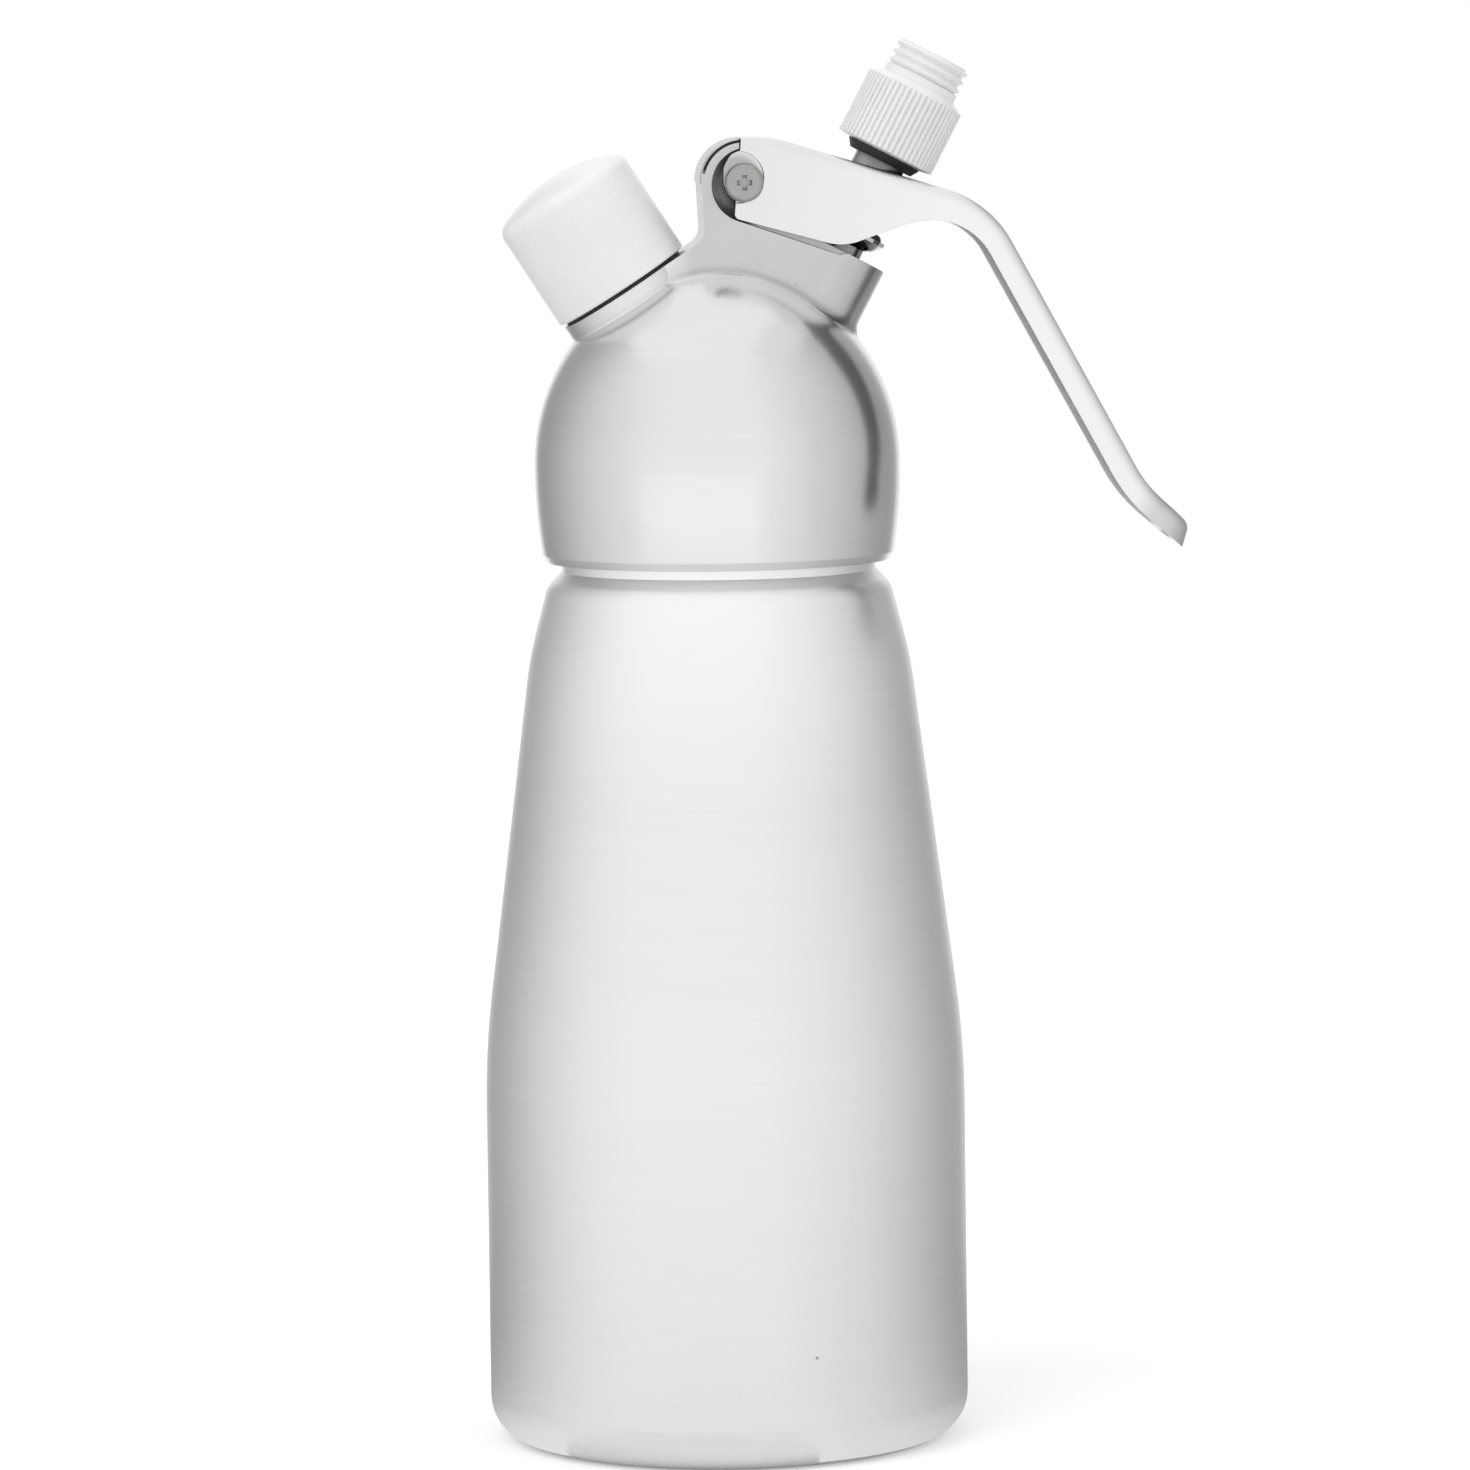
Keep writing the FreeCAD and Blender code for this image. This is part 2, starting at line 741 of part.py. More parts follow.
def valve_bores():
    """The stepped bore on the valve's axis: chamber, seat passage and the gland's thread."""
    body = new_body("head_valve_bores")
    revolved(body, "valve_bore_turning", [
        (0, size.valve_boss_bottom - 1),
        (size.chamber_radius, size.valve_boss_bottom - 1),
        (size.chamber_radius, size.seat_height),
        (size.seat_bore_radius, size.seat_height),
        (size.seat_bore_radius, size.gland_bore_bottom),
        (size.gland_radius + size.thread_clearance, size.gland_bore_bottom),
        (size.gland_radius + size.thread_clearance, size.stub_top + 1),
        (0, size.stub_top + 1),
    ])
    on_valve_axis(body)
    return body


def upright_cylinder(label, radius, bottom, top):
    """A plain cylinder on the body's Z axis, between two heights."""
    body = new_body(label)
    revolved(body, label + "_turning", [(0, bottom), (radius, bottom), (radius, top), (0, top)])
    return body


def union(name, members):
    feature = doc.addObject("Part::MultiFuse", name)
    feature.Shapes = members
    return feature


def difference(name, base, tool):
    feature = doc.addObject("Part::Cut", name)
    feature.Base = base
    feature.Tool = tool
    return feature


def make_head():
    """The whole casting: outside shapes joined and rounded, then hollowed, bossed and bored."""
    pad = upright_cylinder("head_charger_pad", size.charger_pad_radius, size.charger_boss_bottom,
                           size.charger_pad_top)
    on_charger_axis(pad)
    stub = upright_cylinder("head_valve_stub", size.stub_radius, size.seat_height, size.stub_top)
    on_valve_axis(stub)
    blank = union("head_blank", [head_dome(), stub] + saddle())
    doc.recompute()
    outside = difference("head_outside", round_seam(blank), charger_notch())
    hood = pivot_sector("head_hood", size.hood_radius, size.hood_half_width, size.hood_round)
    lip = pivot_sector("head_lip", size.lip_radius, size.saddle_half_width, size.hood_round / 4)
    crowned = union("head_crowned", [outside, pad, hood, lip])
    pockets = union("head_pockets", [lever_pocket(-1), lever_pocket(1)])
    pocketed_head = difference("head_pocketed", crowned, pockets)
    above_boss = front_clearing()
    cleared = difference("head_cleared", pocketed_head, above_boss)
    hollowed = difference("head_hollowed", union("head_with_boss", [cleared, pivot_boss()]), head_cavity())
    valve_boss = upright_cylinder("head_valve_boss", size.valve_boss_radius, size.valve_boss_bottom,
                                  size.seat_height + size.head_wall * 1.5)
    on_valve_axis(valve_boss)
    charger_boss = upright_cylinder("head_charger_boss", size.charger_boss_radius, size.charger_boss_bottom,
                                    size.charger_pad_top - size.head_wall / 2)
    on_charger_axis(charger_boss)
    bossed = union("head_bossed", [hollowed, valve_boss, charger_boss])
    port_hole = upright_cylinder("head_port_hole", size.port_shank_radius + size.thread_clearance,
                                 size.charger_boss_bottom - 1, size.charger_pad_top + 1)
    on_charger_axis(port_hole)
    pivot_hole = doc.addObject("Part::Cylinder", "head_pivot_hole")
    bind(pivot_hole, "Radius", size.barrel_radius + size.barrel_clearance)
    bind(pivot_hole, "Height", size.saddle_half_width * 4)
    pivot_hole.Placement = FreeCAD.Placement(V(0, 0, 0), FreeCAD.Rotation(V(1, 0, 0), 90))
    bind(pivot_hole, "Placement.Base.x", size.pivot_x)
    bind(pivot_hole, "Placement.Base.y", size.saddle_half_width * 2)
    bind(pivot_hole, "Placement.Base.z", size.pivot_z)
    bores = union("head_bores", [valve_bores(), port_hole, pivot_hole])
    head = difference("head_casting", bossed, bores)
    head.Label = "head_casting"
    return head


def front_clearing():
    """What the lever's web sweeps above the boss, cut away in front of the hood."""
    body = new_body("head_front_clearing")
    front = size.pivot_x - size.hood_front
    corners = [
        (front, size.pivot_z),
        (size.pivot_x + size.boss_radius, size.pivot_z),
        (size.pivot_x + size.boss_radius, size.pivot_z + size.hood_radius * 2),
        (front, size.pivot_z + size.hood_radius * 2),
    ]
    sketch = outline(body, "clearing_outline", "XZ_Plane", corners)
    padded(body, "clearing_pad", sketch, size.saddle_half_width * 3, both_ways=True)
    return body


def round_seam(blank):
    """Round the inner corner where the saddle and its two round ends run into the dome."""
    widest = head_bottom.value + size.head_widest_rise.value
    reach = size.head_dome_round.value - size.head_widest_radius.value
    radius = size.seam_round.value
    rounds = []
    for index, edge in enumerate(blank.Shape.Edges, start=1):
        if edge.Degenerated:
            continue
        points = [edge.valueAt(edge.FirstParameter), edge.valueAt(edge.LastParameter)]
        middle = edge.valueAt(0.5 * (edge.FirstParameter + edge.LastParameter))
        misfits = []
        for point in points + [middle]:
            across = math.hypot(point.x, point.y) + reach
            misfits.append(abs(math.hypot(across, point.z - widest) - size.head_dome_round.value))
        on_dome = max(misfits) < 0.02 and middle.z > widest + 5
        if on_dome and abs(middle.y) > 0.01:
            rounds.append((index, radius, radius))
    fillet = doc.addObject("Part::Fillet", "head_seam_round")
    fillet.Base = blank
    fillet.Edges = rounds
    doc.recompute()
    return fillet


# ------------------------------------------------------------------ charger port

port_top = size.charger_pad_top + size.port_rise
port_floor = port_top - size.port_neck_depth


def make_charger_port():
    """The threaded steel port, screwed into the casting, that takes the charger holder or the cap."""
    body = new_body("charger_port")
    crest = size.port_thread_radius
    root_radius = crest - size.port_thread_depth
    thread_foot = size.charger_pad_top + size.port_washer_thickness + size.port_thread_pitch / 2
    turns = int(size.port_thread_turns.value)
    ridges = thread_corners(crest, size.port_thread_depth, thread_foot, size.port_thread_pitch, turns)
    revolved(body, "port_turning", [
        (size.port_gas_radius, size.port_tail_end),
        (size.port_tail_radius, size.port_tail_end),
        (size.port_tail_radius, size.port_shank_end),
        (size.port_shank_radius, size.port_shank_end),
        (size.port_shank_radius, size.charger_pad_top),
        (root_radius, size.charger_pad_top),
    ] + ridges + [
        (root_radius, port_top),
        (size.port_neck_radius, port_top),
        (size.port_neck_radius, port_floor),
        (size.port_gas_radius, port_floor),
    ])
    on_charger_axis(body)
    return body


def make_port_washer():
    """The black sealing washer on the casting's pad, between the pad and the cap's rim."""
    body = new_body("port_washer")
    inner = size.port_thread_radius - size.port_thread_depth + size.thread_clearance
    bottom = size.charger_pad_top + size.thread_clearance
    top = size.charger_pad_top + size.port_washer_thickness
    revolved(body, "port_washer_ring", [
        (inner, bottom),
        (size.port_washer_radius, bottom),
        (size.port_washer_radius, top),
        (inner, top),
    ])
    on_charger_axis(body)
    return body


def make_piercing_pin():
    """The hollow pin that opens the charger's seal, on a thin disc at the floor of the port."""
    body = new_body("piercing_pin")
    disc_top = port_floor + size.pin_disc_thickness
    tip = port_floor + size.pin_length
    revolved(body, "pin_turning", [
        (size.pin_hole_radius, port_floor),
        (size.port_neck_radius - size.thread_clearance, port_floor),
        (size.port_neck_radius - size.thread_clearance, disc_top),
        (size.pin_radius, disc_top),
        (size.pin_radius, tip - size.pin_point_length),
        (size.pin_hole_radius, tip),
    ])
    on_charger_axis(body)
    return body


def make_charger_seal():
    """The rubber ring around the pin that the charger's neck is pressed on."""
    body = new_body("charger_seal")
    bottom = port_floor + size.pin_disc_thickness
    top = bottom + size.charger_seal_thickness
    outer = size.port_neck_radius - size.thread_clearance
    inner = size.pin_radius + size.thread_clearance
    revolved(body, "charger_seal_ring", [(inner, bottom), (outer, bottom), (outer, top), (inner, top)])
    on_charger_axis(body)
    return body


def make_check_sleeve():
    """The rubber sleeve on the port's tail that lets gas in and nothing back out."""
    body = new_body("check_sleeve")
    inner = size.port_tail_radius
    outer = inner + size.sleeve_wall
    top = size.port_tail_end + size.sleeve_length
    revolved(body, "check_sleeve_tube", [
        (inner, size.port_tail_end),
        (outer, size.port_tail_end),
        (outer, top),
        (inner, top),
    ])
    on_charger_axis(body)
    return body


def make_charger_cap():
    """The white plastic cap that screws over the charger port."""
    body = new_body("charger_cap")
    bottom = size.charger_pad_top + size.port_washer_thickness + size.cap_gap
    shoulder = bottom + size.cap_side_height
    bore = size.port_thread_radius + size.cap_clearance
    ceiling = bottom + size.cap_bore_depth
    shell = revolved(body, "cap_turning", [
        (0, ceiling),
        (bore, ceiling),
        (bore, bottom),
        (size.cap_radius, bottom),
        (size.cap_radius, shoulder, size.cap_crown_round, 1),
        (0, shoulder + size.cap_crown_rise),
    ])
    doc.recompute()
    edge = ring_edges(shell.Shape, size.cap_radius, shoulder)
    shell = rounded(body, "cap_shoulder_round", shell, edge, size.cap_edge_round)
    rim = ring_edges(shell.Shape, size.cap_radius, bottom)
    rounded(body, "cap_rim_round", shell, rim, size.cap_gap * 2)
    on_charger_axis(body)
    return body


# ------------------------------------------------------------------ cream valve


def make_gland_nut():
    """The chromed guide nut sunk in the valve stub. The stem slides in it and two rings seal inside it."""
    body = new_body("gland_nut")
    bore = size.stem_radius + size.stem_clearance
    groove = size.stem_radius + size.ring_clearance + size.ring_section_radius * 2 + size.ring_clearance
    half = size.ring_section_radius + size.ring_clearance
    top = size.stub_top - size.gland_sink
    corners = [(bore, size.gland_bore_bottom), (size.gland_radius, size.gland_bore_bottom)]
    corners += [(size.gland_radius, top), (bore, top)]
    for height in (size.ring_high_height, size.ring_low_height):
        corners += [(bore, height + half), (groove, height + half), (groove, height - half)]
        corners += [(bore, height - half)]
    revolved(body, "gland_turning", corners)
    side = size.gland_slot_width / 2
    floor = top - size.gland_slot_depth
    above = top + size.gland_slot_depth
    slot = outline(body, "gland_slot_outline", "YZ_Plane", [(-side, floor), (side, floor), (side, above),
                                                            (-side, above)])
    pocketed(body, "gland_slot", slot, size.gland_radius * 4, both_ways=True)
    on_valve_axis(body)
    return body


def make_stem_rings():
    """The two rubber rings in the gland nut, as two solids."""
    rings = []
    for name, height in (("stem_ring_low", size.ring_low_height), ("stem_ring_high", size.ring_high_height)):
        ring = doc.addObject("Part::Torus", name)
        bind(ring, "Radius1", size.stem_radius + size.ring_clearance + size.ring_section_radius)
        bind(ring, "Radius2", size.ring_section_radius)
        bind(ring, "Placement.Base.z", height)
        rings.append(ring)
    pair = doc.addObject("Part::Compound", "stem_rings")
    pair.Links = rings
    pair.Label = "stem_rings"
    on_valve_axis(pair)
    return pair


def make_cup_ring():
    """The black ring that lies in the stem's cup."""
    body = new_body("cup_ring")
    inner = size.stem_radius + size.stem_clearance / 2
    floor = size.stem_cup_middle + size.stem_cup_sheet
    top = floor + size.cup_ring_thickness
    slope = (size.stem_cup_rise - size.stem_cup_sheet / 4) / (size.stem_cup_radius - size.stem_cup_middle_radius)
    lift = (size.cup_ring_radius - size.stem_cup_middle_radius) * slope + size.stem_clearance
    ring = revolved(body, "cup_ring_turning", [
        (inner, floor),
        (size.stem_cup_middle_radius, floor),
        (size.cup_ring_radius, floor + lift),
        (size.cup_ring_radius, top),
        (inner, top),
    ])
    doc.recompute()
    edge = ring_edges(ring.Shape, size.cup_ring_radius, top)
    rounded(body, "cup_ring_round", ring, edge, size.cup_ring_thickness / 2)
    on_valve_axis(body)
    return body


def make_valve_stem():
    """The chromed hollow stem: a cup above the stub, the flange that the lever pushes, cross holes at its foot."""
    body = new_body("valve_stem")
    flange_bottom = size.stem_flange_top - size.stem_flange_thickness
    cup_floor = size.stem_cup_middle + size.stem_cup_sheet
    cup_rim = size.stem_cup_middle + size.stem_cup_rise
    stem = revolved(body, "stem_turning", [
        (size.stem_neck_bore, size.stem_bottom),
        (size.stem_neck_radius, size.stem_bottom),
        (size.stem_neck_radius, size.stem_neck_top),
        (size.stem_radius, size.stem_neck_top),
        (size.stem_radius, size.stem_cup_bottom),
        (size.stem_cup_middle_radius, size.stem_cup_middle),
        (size.stem_cup_radius, cup_rim),
        (size.stem_cup_radius, cup_rim + size.stem_cup_sheet * 0.75),
        (size.stem_cup_middle_radius, cup_floor),
        (size.stem_radius, cup_floor),
        (size.stem_radius, flange_bottom),
        (size.stem_flange_radius, flange_bottom),
        (size.stem_flange_radius, size.stem_flange_top),
        (size.stem_radius, size.stem_flange_top),
        (size.stem_radius, size.stem_top),
        (size.stem_bore_radius, size.stem_top),
        (size.stem_bore_radius, size.stem_neck_top),
        (size.stem_neck_bore, size.stem_neck_top),
    ])
    doc.recompute()
    rims = ring_edges(stem.Shape, size.stem_flange_radius, size.stem_flange_top)
    rims += ring_edges(stem.Shape, size.stem_flange_radius, flange_bottom)
    rounded(body, "stem_flange_round", stem, rims, size.stem_flange_thickness / 4)
    hole = disc(body, "stem_hole_circle", "XZ_Plane", 0, size.stem_hole_height, size.stem_hole_radius)
    cut = pocketed(body, "stem_hole", hole, size.stem_radius * 2)
    doc.recompute()
    holes = body.newObject("PartDesign::PolarPattern", "stem_holes")
    holes.Originals = [cut]
    holes.Axis = (origin_axis(body, "Z_Axis"), [""])
    holes.Angle = 360
    bind(holes, "Occurrences", size.stem_hole_count)
    body.Tip = holes
    on_valve_axis(body)
    return body


def origin_axis(body, role):
    return [feature for feature in body.Origin.OriginFeatures if feature.Role == role][0]


plate_bottom = size.stem_bottom + size.valve_plate_rise
plate_top = plate_bottom + size.valve_plate_thickness


def make_valve_plate():
    """The round plate screwed on the stem's foot, which carries the seat seal."""
    body = new_body("valve_plate")
    inner = size.stem_neck_radius + size.thread_clearance
    revolved(body, "valve_plate_turning", [
        (inner, plate_bottom),
        (size.valve_plate_radius, plate_bottom),
        (size.valve_plate_radius, plate_top),
        (inner, plate_top),
    ])
    on_valve_axis(body)
    return body


def make_valve_seal():
    """The rubber disc that the spring holds against the seat in the casting."""
    body = new_body("valve_seal")
    inner = size.stem_neck_radius + size.thread_clearance
    top = plate_top + size.valve_seal_thickness
    revolved(body, "valve_seal_ring", [
        (inner, plate_top),
        (size.valve_plate_radius, plate_top),
        (size.valve_plate_radius, top),
        (inner, top),
    ])
    on_valve_axis(body)
    return body


retainer_top = size.valve_boss_bottom + size.retainer_thickness


def make_valve_spring():
    """The coil spring that lifts the stem and closes the valve."""
    body = new_body("valve_spring")
    start = retainer_top + size.spring_wire_radius + size.thread_clearance
    stop = plate_bottom - size.spring_wire_radius - size.thread_clearance
    wire = disc(body, "spring_wire", "XZ_Plane", size.spring_coil_radius, start, size.spring_wire_radius)
    coil = body.newObject("PartDesign::AdditiveHelix", "spring_coil")
    coil.Profile = wire
    coil.ReferenceAxis = (wire, ["V_Axis"])
    coil.Mode = "pitch-height-angle"
    bind(coil, "Pitch", size.spring_pitch)
    bind(coil, "Height", stop - start)
    on_valve_axis(body)
    return body


def make_spring_retainer():
    """The threaded ring that closes the valve chamber and carries the spring."""
    body = new_body("spring_retainer")
    outer = size.chamber_radius - size.thread_clearance
    revolved(body, "retainer_turning", [
        (size.retainer_hole_radius, size.valve_boss_bottom),
        (outer, size.valve_boss_bottom),
        (outer, retainer_top),
        (size.retainer_hole_radius, retainer_top),
    ])
    on_valve_axis(body)
    return body


# ------------------------------------------------------------------ nozzle adapter


def make_adapter_gasket():
    """The black ring between the stem and the adapter's lower end."""
    body = new_body("adapter_gasket")
    inner = size.stem_radius + size.thread_clearance
    top = size.adapter_bottom - size.adapter_gap
    bottom = top - size.adapter_gasket_height
    revolved(body, "adapter_gasket_ring", [
        (inner, bottom),
        (size.adapter_gasket_radius - size.adapter_gasket_taper, bottom),
        (size.adapter_gasket_radius, top),
        (inner, top),
    ])
    on_valve_axis(body)
    return body


def make_nozzle_adapter():
    """The white ribbed collar screwed on the stem, with the thread that takes a decorating nozzle."""
    body = new_body("nozzle_adapter")
    grip_top = size.adapter_bottom + size.adapter_grip_height
    cone_top = grip_top + size.adapter_cone_height
    thread_foot = cone_top + size.adapter_neck_height
    turns = int(size.adapter_thread_turns.value)
    depth = size.adapter_thread_depth
    ridges = thread_corners(size.adapter_neck_radius, depth, thread_foot, size.adapter_thread_pitch, turns)
    top = thread_foot + size.adapter_thread_pitch * size.adapter_thread_turns
    socket = size.stem_radius + size.thread_clearance
    socket_top = size.stem_top + size.adapter_gap
    corners = [
        (socket, size.adapter_bottom),
        (size.adapter_foot_radius, size.adapter_bottom),
        (size.adapter_radius, size.adapter_bottom + size.adapter_foot_rise),
        (size.adapter_radius, grip_top),
        (size.adapter_neck_radius, cone_top),
        (size.adapter_neck_radius, thread_foot),
    ] + ridges + [
        (size.adapter_neck_radius - depth, top),
        (size.adapter_mouth_radius, top),
        (size.adapter_mouth_radius, top - size.adapter_mouth_depth),
        (size.adapter_bore_radius, top - size.adapter_mouth_depth),
        (size.adapter_bore_radius, socket_top),
        (socket, socket_top),
    ]
    revolved(body, "adapter_turning", corners)
    doc.recompute()
    half = size.rib_gap_width / 2
    inside = size.adapter_radius - size.rib_depth
    beyond = size.adapter_radius + size.rib_depth
    gap = outline(body, "rib_gap_outline", "XY_Plane", [
        (inside, -(half / 2)),
        (beyond, -half),
        (beyond, half),
        (inside, half / 2),
    ], size.adapter_bottom)
    length = size.adapter_grip_height + size.adapter_cone_height
    cut = pocketed(body, "rib_gap", gap, length, reverse=True)
    doc.recompute()
    gaps = body.newObject("PartDesign::PolarPattern", "rib_gaps")
    gaps.Originals = [cut]
    gaps.Axis = (origin_axis(body, "Z_Axis"), [""])
    gaps.Angle = 360
    bind(gaps, "Occurrences", size.rib_count)
    body.Tip = gaps
    on_valve_axis(body)
    return body


# ------------------------------------------------------------------ lever and its pivot


def from_pivot(across, drop):
    """X and Z of a place measured from the pivot, forwards and down."""
    return size.pivot_x + across, size.pivot_z - drop


def make_lever():
    """A channel bent from sheet: web on top, two cheeks at the pivot that thin out into the handle."""
    body = new_body("lever")
    nose_top = (size.pivot_x - size.nose_top_back, size.pivot_z + size.nose_up)
    crown = (size.pivot_x + size.crown_x, size.pivot_z + size.nose_up)
    elbow = from_pivot(size.elbow_x, size.elbow_drop)
    knee = from_pivot(size.knee_x, size.knee_drop)
    tip = from_pivot(size.tip_x, size.tip_drop)
    tip_low = from_pivot(size.tip_low_x, size.tip_low_drop)
    heel = from_pivot(size.heel_x, size.heel_drop)
    inner_elbow = from_pivot(size.inner_elbow_x, size.inner_elbow_drop)
    brow = from_pivot(size.brow_x, size.brow_drop)
    belly = from_pivot(size.belly_x, size.belly_drop)
    nose_low = (size.pivot_x - size.nose_back, size.pivot_z - size.nose_down)
    ear_front = (size.pivot_x - size.ear_front, size.pivot_z + size.ear_front_rise)
    ear_top = (size.pivot_x - size.ear_top_back, size.pivot_z + size.ear_top_rise)
    ear_back = (size.pivot_x - size.ear_back, size.pivot_z + size.ear_back_rise)
    ear_low = (size.pivot_x - size.ear_back, size.pivot_z - size.ear_back_drop)
    ear_foot = (size.pivot_x - size.nose_back, size.pivot_z - size.ear_foot_drop)
    corners = [nose_top, nose_low, belly, brow, inner_elbow, heel, tip_low, tip, knee, elbow, crown]
    sketch = outline(body, "lever_outline", "XZ_Plane", corners)
    bar = padded(body, "lever_bar", sketch, size.lever_half_width * 2, both_ways=True)
    doc.recompute()
    for name, corner, radius in (
        ("crown", crown, size.crown_round),
        ("elbow", elbow, size.elbow_round),
        ("knee", knee, size.knee_round),
        ("heel", heel, size.heel_round),
        ("inner_elbow", inner_elbow, size.inner_elbow_round),
        ("brow", brow, size.brow_round),
        ("belly", belly, size.belly_round),
        ("nose_low", nose_low, size.nose_round),
    ):
        edges = cross_edges(bar.Shape, corner[0], corner[1])
        bar = rounded(body, "lever_%s_round" % name, bar, edges, radius)

    def is_tip_side(edge, point, direction):
        middle_x = (tip[0].value + tip_low[0].value) / 2
        middle_z = (tip[1].value + tip_low[1].value) / 2
        beside = abs(abs(point.y) - size.lever_half_width.value) < 0.01
        return beside and abs(point.x - middle_x) < 0.05 and abs(point.z - middle_z) < 0.05

    bar = rounded(body, "lever_tip_round", bar, edges_where(bar.Shape, is_tip_side), size.tip_round)
    top_names = top_edges(bar.Shape, [nose_top, crown, elbow, knee, tip])
    bar = rounded(body, "lever_bend_round_edges", bar, top_names, size.lever_bend_round)
    open_faces = under_faces(bar.Shape)
    channel = body.newObject("PartDesign::Thickness", "lever_channel")
    channel.Base = (bar, open_faces)
    bind(channel, "Value", size.lever_sheet)
    channel.Reversed = True
    doc.recompute()
    inner = size.lever_half_width - size.lever_sheet
    for side in (-1, 1):
        name = "near" if side < 0 else "far"
        ear = outline(body, "ear_outline_" + name, "XZ_Plane", [
            (size.pivot_x, size.pivot_z + size.ear_front_rise),
            ear_front, ear_top, ear_back, ear_low, ear_foot,
            (size.pivot_x, size.pivot_z - size.ear_foot_drop),
        ], inner * (-side))
        plate = padded(body, "ear_" + name, ear, size.lever_sheet, reverse=side > 0)
        doc.recompute()
        for step, corner in enumerate((ear_top, ear_back, ear_low)):
            edges = cross_edges(plate.Shape, corner[0], corner[1])
            plate = rounded(body, "ear_%s_round_%d" % (name, step), plate, edges, size.ear_round)
    dimple = disc(body, "dimple_circle", "XZ_Plane", size.pivot_x - size.dimple_back,
                  size.pivot_z + size.dimple_rise, size.dimple_radius, size.lever_half_width)
    pocketed(body, "dimple", dimple, size.dimple_depth)
    hole_radius = size.barrel_radius + size.barrel_clearance
    hole = disc(body, "pivot_hole_circle", "XZ_Plane", size.pivot_x, size.pivot_z, hole_radius)
    pocketed(body, "pivot_hole", hole, size.lever_half_width * 4, both_ways=True)
    left = size.pivot_x + size.slot_centre_x - size.slot_half_length
    right = size.pivot_x + size.slot_centre_x + size.slot_half_length
    slot = outline(body, "slot_outline", "XY_Plane", [
        (left, -size.slot_half_width),
        (right, -size.slot_half_width, size.slot_half_width, 1),
        (right + size.slot_half_width, 0, size.slot_half_width, 1),
        (right, size.slot_half_width),
        (left, size.slot_half_width, size.slot_half_width, 1),
        (left - size.slot_half_width, 0, size.slot_half_width, 1),
    ], size.pivot_z - size.brow_drop)
    pocketed(body, "slot", slot, size.elbow_x, reverse=True)
    return body


def top_edges(shape, corners):
    """Names of the long edges on both sides of the lever's upper face."""

    def is_top(edge, point, direction):
        if abs(abs(point.y) - size.lever_half_width.value) > 0.02:
            return False
        return distance_to_path(point, corners) < 2.2 and abs(direction.y) < 0.2

    return edges_where(shape, is_top)


def distance_to_path(point, corners):
    """Shortest distance in the XZ plane from a point to a path of straight runs."""
    best = None
    for start, end in zip(corners, corners[1:]):
        first = V(start[0].value, start[1].value, 0)
        run = V(end[0].value, end[1].value, 0) - first
        offset = V(point.x, point.z, 0) - first
        share = min(max(offset.dot(run) / run.dot(run), 0), 1)
        gap = (offset - run * share).Length
        best = gap if best is None else min(best, gap)
    return best


def under_faces(shape):
    """Names of the faces under the lever and at its pivot end, which the channel leaves open."""
    names = []
    for index, face in enumerate(shape.Faces, start=1):
        box = face.BoundBox
        wide = box.YLength > size.lever_half_width.value
        u_range = face.ParameterRange
        normal = face.normalAt(0.5 * (u_range[0] + u_range[1]), 0.5 * (u_range[2] + u_range[3]))
        if wide and abs(normal.y) < 0.01 and (normal.z < -0.05 or normal.x < -0.9):
            names.append("Face%d" % index)
    return names


def make_pivot_barrel():
    """The barrel nut that the lever turns on: a tube through the casting with a domed head at the far side."""
    body = new_body("pivot_barrel")
    end = size.lever_half_width + size.barrel_end_play
    tube = size.barrel_radius
    hole = size.barrel_thread_radius + size.thread_clearance
    shell = revolved(body, "barrel_turning", [
        (0, -end - size.screw_head_height),
        (size.screw_head_radius, -end - size.screw_head_height),
        (size.screw_head_radius, -end),
        (tube, -end),
        (tube, end),
        (hole, end),
        (hole, end - size.screw_length - size.barrel_end_play),
        (0, end - size.screw_length - size.barrel_end_play),
    ])
    doc.recompute()
    rim = ring_edges(shell.Shape, size.screw_head_radius, -end - size.screw_head_height)
    shell = rounded(body, "barrel_head_round", shell, rim, size.screw_head_round)
    cross_cut(body, -end - size.screw_head_height, True)
    lie_on_pivot(body)
    return body


def make_pivot_screw():
    """The cross-head screw that clamps into the barrel from the near side."""
    body = new_body("pivot_screw")
    end = size.lever_half_width + size.barrel_end_play
    top = end + size.screw_head_height
    shell = revolved(body, "screw_turning", [
        (0, end - size.screw_length),
        (size.barrel_thread_radius, end - size.screw_length),
        (size.barrel_thread_radius, end),
        (size.screw_head_radius, end),
        (size.screw_head_radius, top),
        (0, top),
    ])
    doc.recompute()
    rim = ring_edges(shell.Shape, size.screw_head_radius, top)
    rounded(body, "screw_head_rounding", shell, rim, size.screw_head_round)
    cross_cut(body, top, False)
    lie_on_pivot(body)
    return body


def cross_cut(body, face_height, upwards):
    """The cross recess in a screw's head, cut from its face inwards."""
    length = size.cross_length / 2
    width = size.cross_width / 2
    arms = (("long", length, width), ("short", width, length))
    for name, half_across, half_up in arms:
        sketch = outline(body, body.Label + "_cross_" + name, "XY_Plane", [
            (-half_across, -half_up),
            (half_across, -half_up),
            (half_across, half_up),
            (-half_across, half_up),
        ], face_height)
        pocketed(body, body.Label + "_recess_" + name, sketch, size.cross_depth, reverse=upwards)


def lie_on_pivot(body):
    """Turn an upright body so that its top faces the near side (-Y), and put it on the pivot."""
    body.Placement = FreeCAD.Placement(V(0, 0, 0), FreeCAD.Rotation(V(1, 0, 0), 90))
    bind(body, "Placement.Base.x", size.pivot_x)
    bind(body, "Placement.Base.z", size.pivot_z)


# ------------------------------------------------------------------ build, check and write

